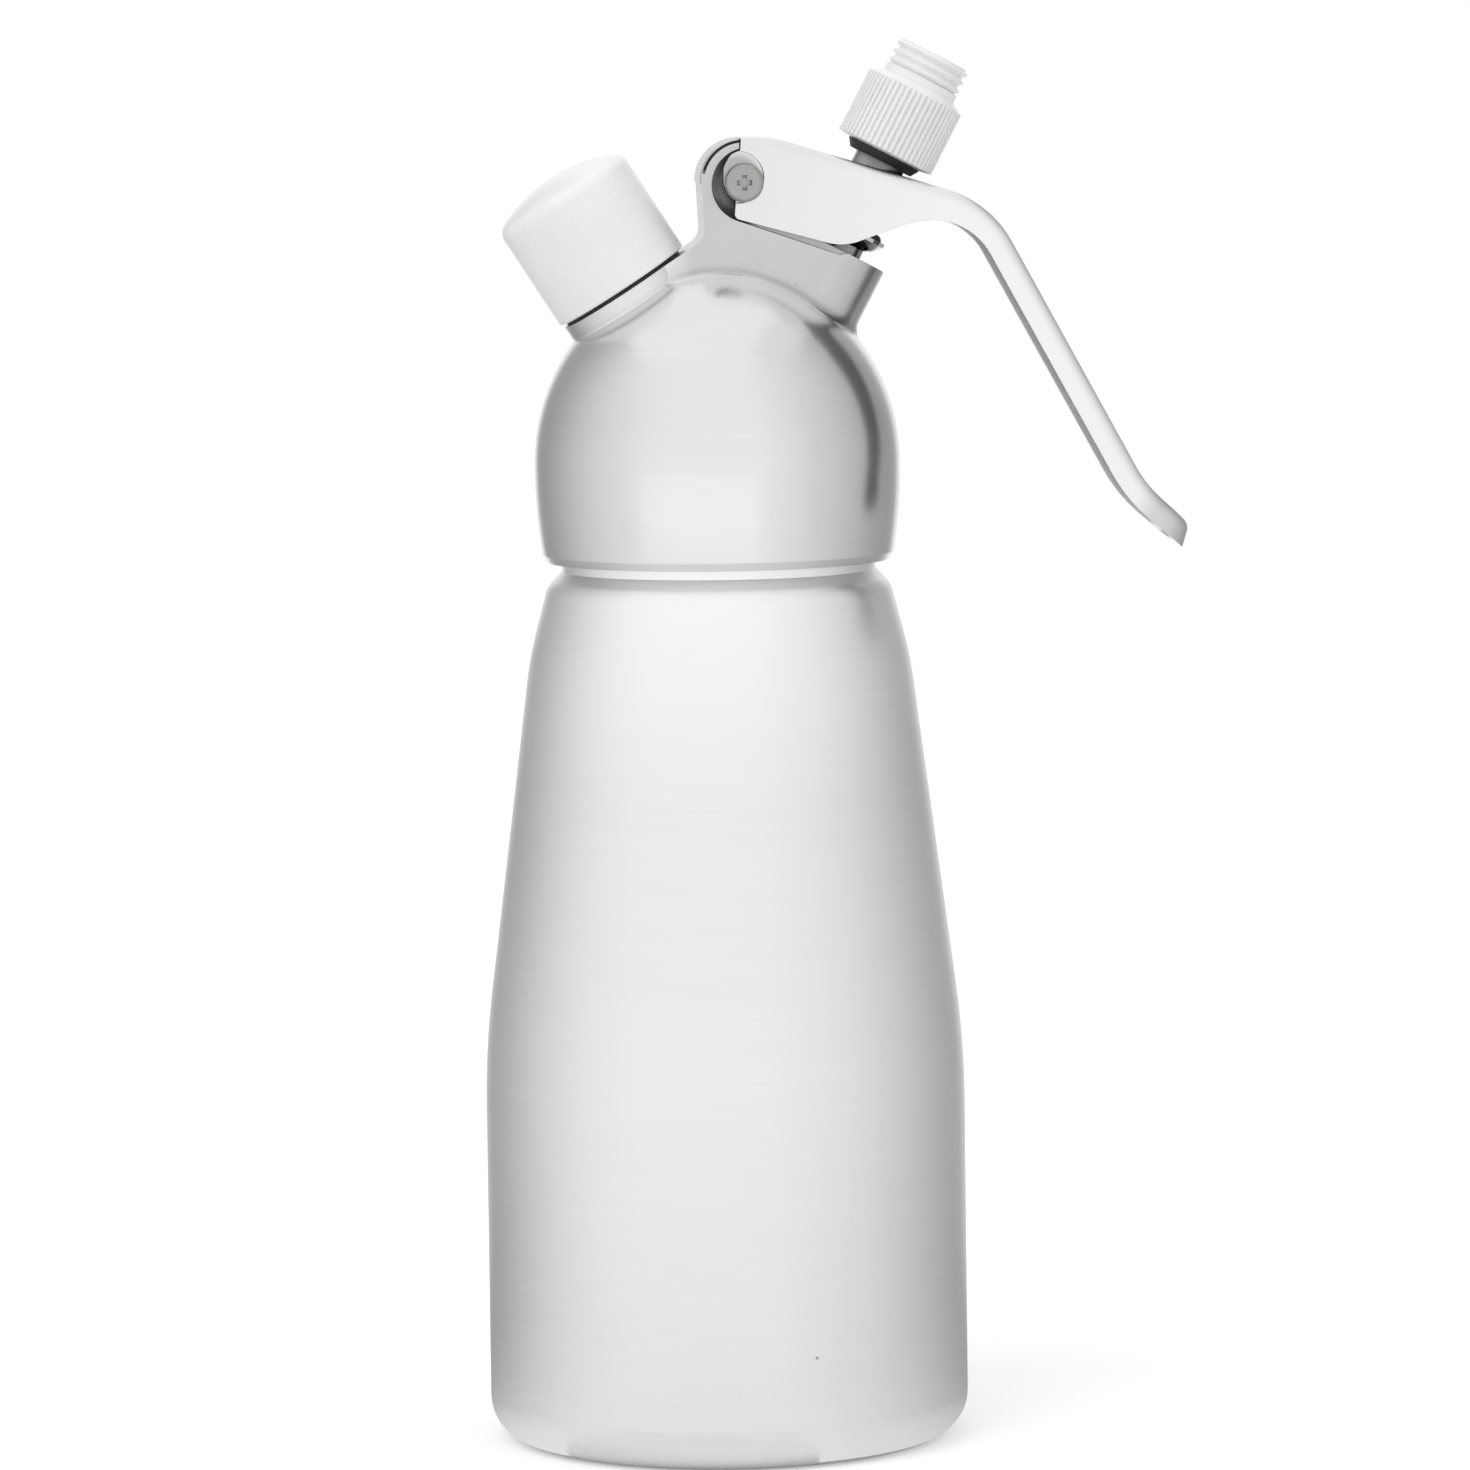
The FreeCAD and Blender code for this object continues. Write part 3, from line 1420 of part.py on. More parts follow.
PARTS = [
    make_bottle(),
    make_head_gasket(),
    make_head(),
    make_charger_port(),
    make_port_washer(),
    make_piercing_pin(),
    make_charger_seal(),
    make_check_sleeve(),
    make_charger_cap(),
    make_gland_nut(),
    make_stem_rings(),
    make_cup_ring(),
    make_valve_stem(),
    make_valve_plate(),
    make_valve_seal(),
    make_valve_spring(),
    make_spring_retainer(),
    make_adapter_gasket(),
    make_nozzle_adapter(),
    make_lever(),
    make_pivot_barrel(),
    make_pivot_screw(),
]

doc.recompute()

for thing in doc.Objects:
    if "Invalid" in thing.State or "Error" in thing.State:
        raise RuntimeError("%s failed: %s" % (thing.Name, thing.State))
for part in PARTS:
    if part.Shape.isNull() or not part.Shape.isValid():
        raise RuntimeError("%s has no valid shape" % part.Label)

os.makedirs("parts", exist_ok=True)
for part in PARTS:
    part.Shape.exportStep("parts/%s.step" % part.Label)
    print("%-16s solids %d  volume %9.1f mm3" % (part.Label, len(part.Shape.Solids), part.Shape.Volume))
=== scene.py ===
import math

import bpy
from mathutils import Matrix, Vector

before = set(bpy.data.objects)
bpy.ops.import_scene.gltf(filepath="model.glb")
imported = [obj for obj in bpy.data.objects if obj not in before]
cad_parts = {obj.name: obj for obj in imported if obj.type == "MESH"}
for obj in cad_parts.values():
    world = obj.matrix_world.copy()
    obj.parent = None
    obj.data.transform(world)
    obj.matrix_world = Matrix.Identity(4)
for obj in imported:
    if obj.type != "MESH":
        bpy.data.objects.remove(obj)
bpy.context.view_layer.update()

# ---------------------------------------------------------------- bottle
# The bottle is impact-formed aluminium: a long cone on a wide rounded foot, closed in to a round
# shoulder. It is turned on a lathe and left satin, so very fine lines run round its axis.
MILLIMETRE = 0.001
UPRIGHT_FOOT = (0.0, 0.0, 0.0)
UPRIGHT_AXIS = (0.0, 0.0, 1.0)


def step(tree, kind, inputs=None, **fields):
    """Add one node. Every input is a plain value, or the socket that feeds it."""
    node = tree.nodes.new("ShaderNode" + kind)
    for field, value in fields.items():
        setattr(node, field, value)
    for socket, value in (inputs or {}).items():
        if isinstance(value, bpy.types.NodeSocket):
            tree.links.new(value, node.inputs[socket])
        else:
            node.inputs[socket].default_value = value
    return node


def give(tree, socket, value):
    """Wire a result to a socket of a shader, or to a group's exit."""
    tree.links.new(value, socket)


def sums(tree, operation, *values):
    """One Math node's result."""
    return step(tree, "Math", dict(enumerate(values)), operation=operation).outputs[0]


def times(tree, value, *others):
    """The product of two or more values."""
    for other in others:
        value = sums(tree, "MULTIPLY", value, other)
    return value


def weighed(tree, first, first_weight, second, second_weight):
    """The sum of two values, each with its own weight."""
    return sums(tree, "ADD", times(tree, first, first_weight), times(tree, second, second_weight))


def vectors(tree, operation, *values, scale=None, result="Vector"):
    """One Vector Math node's result."""
    inputs = dict(enumerate(values))
    if scale is not None:
        inputs["Scale"] = scale
    return step(tree, "VectorMath", inputs, operation=operation).outputs[result]


def part_of(tree, place, axis):
    """One coordinate, X, Y or Z, of a place or a direction."""
    return step(tree, "SeparateXYZ", {"Vector": place}).outputs[axis]


def between(tree, share, low, high):
    """A value from low to high as the share goes from 0 to 1."""
    return step(tree, "MapRange", {"Value": share, "To Min": low, "To Max": high}).outputs["Result"]


def spread(tree, value, start, end):
    """The part of a value from start to end, opened out to 0 to 1."""
    return step(tree, "MapRange", {"Value": value, "From Min": start, "From Max": end}).outputs["Result"]


def tones(tree, share, low, high):
    """A colour from low to high as the share goes from 0 to 1."""
    return step(tree, "Mix", {0: share, 6: low, 7: high}, data_type="RGBA").outputs[2]


def grey(level, blue=0.0):
    """A grey, with a trace more blue in cold metal."""
    return (level, level, level + blue, 1.0)


def grain(tree, place, scale, detail=2.0, rough=0.5, twist=0.0):
    """Soft random variation over a surface, 0 to 1."""
    inputs = {"Vector": place, "Scale": scale, "Detail": detail, "Roughness": rough, "Distortion": twist}
    return step(tree, "TexNoise", inputs).outputs["Fac"]


def new_effect(name, inputs, outputs):
    """An empty node group with named sockets, its entry and its exit."""
    group = bpy.data.node_groups.new(name, "ShaderNodeTree")
    kinds = {float: "NodeSocketFloat", tuple: "NodeSocketVector"}
    for label, start in inputs.items():
        socket = group.interface.new_socket(label, in_out="INPUT", socket_type=kinds[type(start)])
        socket.default_value = start
    for label, kind in outputs.items():
        group.interface.new_socket(label, in_out="OUTPUT", socket_type=kinds[kind])
    return group, group.nodes.new("NodeGroupInput").outputs, group.nodes.new("NodeGroupOutput").inputs


def placed(tree, effect, **inputs):
    """One effect placed in a material, with its own values."""
    node = tree.nodes.new("ShaderNodeGroup")
    node.node_tree = effect
    for label, value in inputs.items():
        if isinstance(value, bpy.types.NodeSocket):
            give(tree, node.inputs[label], value)
        else:
            node.inputs[label].default_value = value
    return node.outputs


def new_finish(name, **plain):
    """A material, its tree, its shader and the place on the piece that every effect starts from."""
    finish = bpy.data.materials.new(name)
    finish.use_nodes = True
    tree = finish.node_tree
    shader = tree.nodes["Principled BSDF"]
    for socket, value in plain.items():
        shader.inputs[socket.replace("_", " ")].default_value = value
    return finish, tree, shader.inputs, tree.nodes.new("ShaderNodeTexCoord").outputs["Object"]


def raised(tree, shader, height, depth, normal=None):
    """Raise the surface by a height map of a real depth in metres."""
    inputs = {"Height": height, "Distance": depth, "Strength": 1.0}
    if normal is not None:
        inputs["Normal"] = normal
    give(tree, shader["Normal"], step(tree, "Bump", inputs).outputs["Normal"])


def dress(finish, *nodes):
    """Put a finish on carried-over pieces."""
    for name in nodes:
        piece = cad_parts[name]
        if not piece.material_slots:
            piece.data.materials.append(finish)
        for place in piece.material_slots:
            place.material = finish


# Lathe lines: fine streaks that run round an axis, with slower bands under them. The streaks are
# the grain of a space whose length is counted in pitches and which is only a few turns wide.
STREAKS = (("Lines", 1.0, 1.0, 3.0), ("Bands", 11.0, 0.55, 2.0))
lathe_lines, entry, leave = new_effect(
    "lathe_lines",
    {
        "Place": (0.0, 0.0, 0.0), "Foot": UPRIGHT_FOOT, "Axis": UPRIGHT_AXIS,
        "Pitch": 0.3 * MILLIMETRE, "Turns": 3.0,
    },
    {"Lines": float, "Bands": float},
)
from_foot = vectors(lathe_lines, "SUBTRACT", entry["Place"], entry["Foot"])
up_axis = vectors(lathe_lines, "DOT_PRODUCT", from_foot, entry["Axis"], result="Value")
on_axis = vectors(lathe_lines, "SCALE", entry["Axis"], scale=up_axis)
sideways = vectors(lathe_lines, "SUBTRACT", from_foot, on_axis)
off_axis = vectors(lathe_lines, "LENGTH", sideways, result="Value")
toward = vectors(lathe_lines, "NORMALIZE", sideways)
travel = sums(lathe_lines, "SUBTRACT", up_axis, off_axis)
for label, pitches, turns, detail in STREAKS:
    count = sums(lathe_lines, "DIVIDE", travel, times(lathe_lines, entry["Pitch"], pitches))
    round_part = vectors(lathe_lines, "SCALE", toward, scale=times(lathe_lines, entry["Turns"], turns))
    long_part = vectors(lathe_lines, "SCALE", entry["Axis"], scale=count)
    spot = vectors(lathe_lines, "ADD", round_part, long_part)
    give(lathe_lines, leave[label], grain(lathe_lines, spot, 1.0, detail, 0.6))

# Handling: broad smears that a hand leaves on metal and plastic, and a few small dark specks.
SMEAR_LOW, SMEAR_HIGH = 0.34, 0.66
SPECK_CELLS, SPECK_SIZE, SPECK_RARITY = 2.6, 0.02, 0.72
handling, entry, leave = new_effect(
    "handling", {"Place": (0.0, 0.0, 0.0), "Size": 22.0 * MILLIMETRE}, {"Smears": float, "Specks": float}
)
share = vectors(handling, "SCALE", entry["Place"], scale=sums(handling, "DIVIDE", 1.0, entry["Size"]))
broad = grain(handling, share, 1.0, 3.0, 0.55, 0.6)
give(handling, leave["Smears"], spread(handling, broad, SMEAR_LOW, SMEAR_HIGH))
dots = step(handling, "TexVoronoi", {"Vector": share, "Scale": SPECK_CELLS, "Randomness": 1.0}).outputs
near = sums(handling, "LESS_THAN", dots["Distance"], SPECK_SIZE)
chance = step(handling, "SeparateColor", {0: dots["Color"]}).outputs[0]
give(handling, leave["Specks"], times(handling, near, sums(handling, "GREATER_THAN", chance, SPECK_RARITY)))

BOTTLE_TONE, BOTTLE_WORN_TONE, BOTTLE_SPECK_TONE = grey(0.80, 0.005), grey(0.875, 0.005), grey(0.42)
SHOULDER_HIGHLIGHT_TONE = grey(0.93, 0.005)
SHOULDER_START, SHOULDER_FULL = 108.0 * MILLIMETRE, 142.0 * MILLIMETRE
BOTTLE_ROUGHNESS, BOTTLE_SMEAR_ROUGHNESS = (0.30, 0.37), (-0.015, 0.02)
METAL_LINE_DEPTH = 0.004 * MILLIMETRE
spun_aluminium, tree, shader, place = new_finish("spun_aluminium", Metallic=1.0)
lines = placed(tree, lathe_lines, Place=place, Pitch=0.32 * MILLIMETRE, Turns=2.4)
hands = placed(tree, handling, Place=place, Size=38.0 * MILLIMETRE)
tone = tones(tree, weighed(tree, lines["Lines"], 0.6, lines["Bands"], 0.4), BOTTLE_TONE, BOTTLE_WORN_TONE)
# Painted highlight: the shoulder is painted brighter towards its top, where light from above falls on it.
shoulder_highlight = spread(tree, part_of(tree, place, "Z"), SHOULDER_START, SHOULDER_FULL)
tone = tones(tree, shoulder_highlight, tone, SHOULDER_HIGHLIGHT_TONE)
give(tree, shader["Base Color"], tones(tree, hands["Specks"], tone, BOTTLE_SPECK_TONE))
line_dull = between(tree, lines["Lines"], *BOTTLE_ROUGHNESS)
smear_dull = between(tree, hands["Smears"], *BOTTLE_SMEAR_ROUGHNESS)
give(tree, shader["Roughness"], sums(tree, "ADD", line_dull, smear_dull))
raised(tree, shader, lines["Lines"], METAL_LINE_DEPTH)
dress(spun_aluminium, "bottle")

# ---------------------------------------------------------------- bottle's rubber ring
# A flat ring cut from black food-grade rubber. It lies on the bottle's rim, and the head presses it
# tight when it is screwed down.
RUBBER_TONE = grey(0.022)
RUBBER_DUSTY_TONE = grey(0.055, -0.001)
RUBBER_ROUGHNESS = (0.48, 0.66)
RUBBER_GRAIN, RUBBER_DEPTH = 9000.0, 0.01 * MILLIMETRE


def rubber(name, pitch, foot=UPRIGHT_FOOT, axis=UPRIGHT_AXIS):
    """Black rubber with a dusty bloom, moulding lines round its axis and a fine grain."""
    finish, tree, shader, place = new_finish(name, Specular_IOR_Level=0.4)
    lines = placed(tree, lathe_lines, Place=place, Foot=foot, Axis=axis, Pitch=pitch, Turns=2.0)
    hands = placed(tree, handling, Place=place, Size=3.0 * MILLIMETRE)
    bloom = times(tree, hands["Smears"], lines["Bands"])
    give(tree, shader["Base Color"], tones(tree, bloom, RUBBER_TONE, RUBBER_DUSTY_TONE))
    give(tree, shader["Roughness"], between(tree, hands["Smears"], *RUBBER_ROUGHNESS))
    raised(tree, shader, grain(tree, place, RUBBER_GRAIN), RUBBER_DEPTH)
    return finish


dress(rubber("ring_rubber", 0.4 * MILLIMETRE), "head_gasket")

# ---------------------------------------------------------------- head casting
# One aluminium casting. The dome is turned like the bottle. The saddle, the charger's pad and the
# valve stub that stand on it are blasted and wiped by hand, which leaves them greyer and softer.
PIVOT_FOOT = (4.5 * MILLIMETRE, 0.0, 209.6 * MILLIMETRE)
ACROSS_PIVOT = (1.0, 0.0, 1.0)
DOME_CENTRE_OUT, DOME_CENTRE_UP = -4.4 * MILLIMETRE, 163.0 * MILLIMETRE
DOME_ROUND = 34.7 * MILLIMETRE
PROUD_START, PROUD_FULL = 0.08 * MILLIMETRE, 0.5 * MILLIMETRE
SIDE_TOP, SIDE_FULL = 182.0 * MILLIMETRE, 171.0 * MILLIMETRE
SIDE_START, SIDE_END = 0.03, 0.16
WEB_START, WEB_FULL = -9.0 * MILLIMETRE, -4.0 * MILLIMETRE
PAD_START, PAD_FULL = -13.0 * MILLIMETRE, -25.0 * MILLIMETRE
SEAM_START, SEAM_FULL = 0.05 * MILLIMETRE, 0.25 * MILLIMETRE
SEAM_FADE, SEAM_END = 0.5 * MILLIMETRE, 1.1 * MILLIMETRE
SEAM_ON_PAD, SEAM_ON_WEB = 0.12, 0.38
RECESS_RADIUS, RECESS_OUTSIDE = 6.4 * MILLIMETRE, 7.6 * MILLIMETRE
GROOVE_INNER, GROOVE_OUTER = 6.5 * MILLIMETRE, 7.05 * MILLIMETRE
GROOVE_DEPTH = 8.5 * MILLIMETRE
GROOVE_LOW, GROOVE_FULL = 1.0 * MILLIMETRE, 2.2 * MILLIMETRE
GROOVE_BACK = -0.4 * MILLIMETRE
RECESS_SHADE_START, RECESS_SHADE_FULL, RECESS_SHADE_SHARE = (0.92, 0.72), (0.55, 0.4), (1.0, 0.3)
DOME_TONE, DOME_WORN_TONE, DOME_SHADE_TONE = grey(0.76, 0.005), grey(0.84, 0.005), grey(0.72, 0.005)
WEB_TONE, WEB_WORN_TONE, WEB_REFLECTION_TONE = grey(0.57, 0.005), grey(0.61, 0.005), grey(0.80)
EDGE_TONE, SEAM_TONE, RECESS_SHADE_TONE, CAST_SPECK_TONE = grey(0.84), grey(0.30), grey(0.03), grey(0.35)
CAST_GRAIN, CAST_GRAIN_HEIGHT = 420.0, 1.2
TURNED_ROUGHNESS, BLASTED_ROUGHNESS = (0.19, 0.25), (0.26, 0.34)

# Soft edges: the small radius that tumbling leaves on every edge, and where those edges are rubbed.
EDGE_START, EDGE_FULL = 0.995, 0.86
soft_edges, entry, leave = new_effect(
    "soft_edges", {"Radius": 0.25 * MILLIMETRE}, {"Normal": tuple, "Edges": float}
)
eased = step(soft_edges, "Bevel", {"Radius": entry["Radius"]}, samples=4).outputs["Normal"]
straight = step(soft_edges, "NewGeometry").outputs["Normal"]
agree = vectors(soft_edges, "DOT_PRODUCT", eased, straight, result="Value")
give(soft_edges, leave["Normal"], eased)
give(soft_edges, leave["Edges"], spread(soft_edges, agree, EDGE_START, EDGE_FULL))

cast_aluminium, tree, shader, place = new_finish("cast_aluminium", Metallic=1.0)
lines = placed(tree, lathe_lines, Place=place, Pitch=0.28 * MILLIMETRE, Turns=2.0)
hands = placed(tree, handling, Place=place, Size=17.0 * MILLIMETRE)
edges = placed(tree, soft_edges, Radius=0.3 * MILLIMETRE)
parts = step(tree, "SeparateXYZ", {"Vector": place}).outputs
mirrored = step(tree, "LightPath").outputs["Is Glossy Ray"]

# What stands proud of the dome's round is blasted.
squares = [sums(tree, "POWER", parts[axis], 2.0) for axis in ("X", "Y")]
out = sums(tree, "SQRT", sums(tree, "ADD", *squares))
out_part = sums(tree, "POWER", sums(tree, "SUBTRACT", out, DOME_CENTRE_OUT), 2.0)
up = sums(tree, "MAXIMUM", sums(tree, "SUBTRACT", parts["Z"], DOME_CENTRE_UP), 0.0)
up_part = sums(tree, "POWER", up, 2.0)
proud = sums(tree, "SUBTRACT", sums(tree, "SQRT", sums(tree, "ADD", out_part, up_part)), DOME_ROUND)
blasted = spread(tree, proud, PROUD_START, PROUD_FULL)
turned = sums(tree, "SUBTRACT", 1.0, blasted)

# Painted shade: the dome's wall is painted a little darker where it turns away from the eye. The web is
# grey, and painted brighter where the dome mirrors it: a painted reflection.
dome_tone = tones(tree, weighed(tree, lines["Lines"], 0.5, lines["Bands"], 0.5), DOME_TONE, DOME_WORN_TONE)
facing = step(tree, "LayerWeight", {"Blend": 0.5}).outputs["Facing"]
turned_away_shade = spread(tree, facing, SIDE_START, SIDE_END)
on_wall = spread(tree, parts["Z"], SIDE_TOP, SIDE_FULL)
dome_tone = tones(tree, times(tree, turned_away_shade, on_wall), dome_tone, DOME_SHADE_TONE)
web_tone = tones(tree, mirrored, tones(tree, hands["Smears"], WEB_TONE, WEB_WORN_TONE), WEB_REFLECTION_TONE)
on_web = spread(tree, parts["X"], WEB_START, WEB_FULL)
on_pad = spread(tree, parts["X"], PAD_START, PAD_FULL)
tone = tones(tree, times(tree, blasted, sums(tree, "MAXIMUM", on_web, on_pad)), dome_tone, web_tone)
tone = tones(tree, edges["Edges"], tone, EDGE_TONE)

# A thin grey seam lies where the web and the pad meet the dome.
seam = times(tree, spread(tree, proud, SEAM_START, SEAM_FULL), spread(tree, proud, SEAM_END, SEAM_FADE),
             between(tree, on_web, SEAM_ON_PAD, SEAM_ON_WEB))
tone = tones(tree, seam, tone, SEAM_TONE)

# Painted shade: closed corners are painted near black, most of all the recess round the pivot and the
# groove between the hood and the lip of that recess, where shade falls. Each pair is a value in the recess
# and one outside it.
open_share = step(tree, "AmbientOcclusion", {"Distance": 3.5 * MILLIMETRE}, samples=4).outputs["AO"]
from_pivot = vectors(tree, "MULTIPLY", vectors(tree, "SUBTRACT", place, PIVOT_FOOT), ACROSS_PIVOT)
reach = vectors(tree, "LENGTH", from_pivot, result="Value")
outside = spread(tree, reach, RECESS_RADIUS, RECESS_OUTSIDE)
closed = spread(tree, open_share, between(tree, outside, *RECESS_SHADE_START), between(tree, outside, *RECESS_SHADE_FULL))
recess_shade = times(tree, closed, between(tree, outside, *RECESS_SHADE_SHARE))
off_pivot = step(tree, "SeparateXYZ", {"Vector": from_pivot}).outputs
groove = times(
    tree,
    sums(tree, "GREATER_THAN", reach, GROOVE_INNER),
    sums(tree, "LESS_THAN", reach, GROOVE_OUTER),
    spread(tree, off_pivot["Z"], GROOVE_LOW, GROOVE_FULL),
    sums(tree, "LESS_THAN", off_pivot["X"], GROOVE_BACK),
    sums(tree, "LESS_THAN", sums(tree, "ABSOLUTE", parts["Y"]), GROOVE_DEPTH),
)
# The painted shade is left out where other metal mirrors the casting.
recess_shade = times(tree, sums(tree, "MAXIMUM", recess_shade, groove), between(tree, mirrored, 1.0, 0.0))
tone = tones(tree, recess_shade, tone, RECESS_SHADE_TONE)
give(tree, shader["Base Color"], tones(tree, hands["Specks"], tone, CAST_SPECK_TONE))

turned_dull = between(tree, lines["Lines"], *TURNED_ROUGHNESS)
blasted_dull = between(tree, hands["Smears"], *BLASTED_ROUGHNESS)
give(tree, shader["Roughness"], weighed(tree, turned_dull, turned, blasted_dull, blasted))
cast_grain = grain(tree, place, CAST_GRAIN, 3.0)
relief = weighed(tree, lines["Lines"], turned, cast_grain, times(tree, blasted, CAST_GRAIN_HEIGHT))
raised(tree, shader, relief, METAL_LINE_DEPTH, normal=edges["Normal"])
dress(cast_aluminium, "head_casting")

# ---------------------------------------------------------------- charger port
# A turned steel port is screwed into the head on the charger's side. A hollow pin in its floor
# pierces the charger, a ring seals on the charger's neck and a sleeve over its tail lets gas one way.
CHARGER_FOOT = (0.0, 0.0, 168.3 * MILLIMETRE)
CHARGER_TILT = math.radians(32.5)
CHARGER_AXIS = (-math.sin(CHARGER_TILT), 0.0, math.cos(CHARGER_TILT))
STEEL_BLUE = 0.01
STEEL_EDGE_TONE, STEEL_CORNER_SHADE_TONE = grey(0.85), grey(0.05)
STEEL_CORNER_START, STEEL_CORNER_FULL = 0.8, 0.45
STEEL_LINE_DEPTH = 0.006 * MILLIMETRE


def turned_steel(name, low, high, roughness, pitch, foot, axis, corner_shade=0.0):
    """Steel turned on a lathe: lines round its own axis, brighter rubbed edges, painted shade in corners.
    """
    finish, tree, shader, place = new_finish(name, Metallic=1.0)
    lines = placed(tree, lathe_lines, Place=place, Foot=foot, Axis=axis, Pitch=pitch, Turns=2.0)
    hands = placed(tree, handling, Place=place, Size=6.0 * MILLIMETRE)
    edges = placed(tree, soft_edges, Radius=0.12 * MILLIMETRE)
    tone = tones(tree, lines["Lines"], grey(low, STEEL_BLUE * low), grey(high, STEEL_BLUE * high))
    tone = tones(tree, edges["Edges"], tone, STEEL_EDGE_TONE)
    open_share = step(tree, "AmbientOcclusion", {"Distance": 4.0 * MILLIMETRE}, samples=6).outputs["AO"]
    corner = times(tree, spread(tree, open_share, STEEL_CORNER_START, STEEL_CORNER_FULL), corner_shade)
    give(tree, shader["Base Color"], tones(tree, corner, tone, STEEL_CORNER_SHADE_TONE))
    blur = times(tree, sums(tree, "ADD", lines["Bands"], hands["Smears"]), 0.5)
    give(tree, shader["Roughness"], between(tree, blur, *roughness))
    raised(tree, shader, lines["Lines"], STEEL_LINE_DEPTH, normal=edges["Normal"])
    return finish


port_steel = turned_steel(
    "port_steel", low=0.5, high=0.62, roughness=(0.22, 0.34), pitch=0.2 * MILLIMETRE,
    foot=CHARGER_FOOT, axis=CHARGER_AXIS,
)
dress(port_steel, "charger_port", "piercing_pin")
charger_rubber = rubber("charger_rubber", 0.3 * MILLIMETRE, CHARGER_FOOT, CHARGER_AXIS)
dress(charger_rubber, "charger_seal", "check_sleeve", "port_washer")

# ---------------------------------------------------------------- charger cap
# The cap is moulded in white plastic, smooth and slightly glossy. It is screwed over the port by
# hand and covers the port's thread.
WHITE_TONE, WHITE_BRIGHT_TONE, CORNER_SHADE_TONE = grey(0.90), grey(0.93), grey(0.45, -0.01)
CORNER_SHADE_START, CORNER_SHADE_FULL = 0.75, 0.15
PLASTIC_GRAIN, PLASTIC_DEPTH, PLASTIC_LINE_SHARE = 160.0, 0.004 * MILLIMETRE, 0.15


def white_plastic(name, roughness, corner_shade, reach, foot, axis):
    """Moulded white plastic: soft waves, faint flow lines round its axis, painted grey shade in its
    corners.
    """
    finish, tree, shader, place = new_finish(name, Specular_IOR_Level=0.5, IOR=1.49)
    hands = placed(tree, handling, Place=place, Size=9.0 * MILLIMETRE)
    lines = placed(tree, lathe_lines, Place=place, Foot=foot, Axis=axis, Pitch=0.5 * MILLIMETRE, Turns=5.0)
    edges = placed(tree, soft_edges, Radius=0.2 * MILLIMETRE)
    open_share = step(tree, "AmbientOcclusion", {"Distance": reach}, samples=4).outputs["AO"]
    # Painted shade: corners that are closed in are painted grey.
    corner = times(tree, spread(tree, open_share, CORNER_SHADE_START, CORNER_SHADE_FULL), corner_shade)
    tone = tones(tree, hands["Smears"], WHITE_TONE, WHITE_BRIGHT_TONE)
    give(tree, shader["Base Color"], tones(tree, corner, tone, CORNER_SHADE_TONE))
    give(tree, shader["Roughness"], between(tree, hands["Smears"], *roughness))
    waves = grain(tree, place, PLASTIC_GRAIN)
    flow = sums(tree, "ADD", waves, times(tree, lines["Lines"], PLASTIC_LINE_SHARE))
    raised(tree, shader, flow, PLASTIC_DEPTH, normal=edges["Normal"])
    return finish


cap_plastic = white_plastic(
    "cap_plastic", roughness=(0.24, 0.32), corner_shade=0.3, reach=0.8 * MILLIMETRE,
    foot=CHARGER_FOOT, axis=CHARGER_AXIS,
)
dress(cap_plastic, "charger_cap")

# ---------------------------------------------------------------- cream valve
# A chromed stem slides in a chromed nut that is screwed into the head's stub. Two rings in the nut
# keep the cream in and one lies in the stem's cup. A plate, a seal and a spring close the foot.
VALVE_FOOT = (0.0, 0.0, 160.1 * MILLIMETRE)
VALVE_TILT = math.radians(27.8)
VALVE_AXIS = (math.sin(VALVE_TILT), 0.0, math.cos(VALVE_TILT))
# Painted shade: the chrome stem and nut are painted near black in their closed corners.
chrome = turned_steel(
    "chromed_brass", low=0.70, high=0.78, roughness=(0.08, 0.15), pitch=0.35 * MILLIMETRE,
    foot=VALVE_FOOT, axis=VALVE_AXIS, corner_shade=0.9,
)
dress(chrome, "gland_nut", "valve_stem")
valve_steel = turned_steel(
    "valve_steel", low=0.48, high=0.58, roughness=(0.25, 0.36), pitch=0.2 * MILLIMETRE,
    foot=VALVE_FOOT, axis=VALVE_AXIS,
)
dress(valve_steel, "valve_plate", "valve_spring", "spring_retainer")
valve_rubber = rubber("valve_rubber", 0.25 * MILLIMETRE, VALVE_FOOT, VALVE_AXIS)
dress(valve_rubber, "stem_rings", "cup_ring", "valve_seal", "adapter_gasket")

# ---------------------------------------------------------------- nozzle adapter
# The white collar is moulded with ribs for the fingers. It is screwed onto the stem and carries the
# thread for the nozzle.
collar_plastic = white_plastic(
    "collar_plastic", roughness=(0.26, 0.36), corner_shade=0.0, reach=0.5 * MILLIMETRE,
    foot=VALVE_FOOT, axis=VALVE_AXIS,
)
dress(collar_plastic, "nozzle_adapter")

# ---------------------------------------------------------------- lever
# One strip of thick aluminium sheet, pressed to a channel round the pivot and the stem and bent down
# to a handle. It is brushed, then polished bright outside; painted shade and a painted reflection
# darken the inside of the channel.
STRIP_WAY, STRIP_INSIDE = (0.88, 0.0, 0.47), 0.3
INNER_HALF_WIDTH = 7.45 * MILLIMETRE
HANDLE_WAY = (0.83, 0.0, -0.56)
HANDLE_START, HANDLE_FULL = 40.0 * MILLIMETRE, 46.0 * MILLIMETRE
TIP_START, TIP_FULL, TIP_SHARE = -30.5 * MILLIMETRE, -26.5 * MILLIMETRE, 0.55
DIMPLE_CENTRE = (3.5 * MILLIMETRE, 0.0, 210.5 * MILLIMETRE)
DIMPLE_RADIUS, DIMPLE_FLAT = 4.35 * MILLIMETRE, 3.05 * MILLIMETRE
DIMPLE_FLOOR = -8.3 * MILLIMETRE
BRUSH_SCALE, EVEN_SCALE = (60.0, 4200.0, 60.0), 5200.0
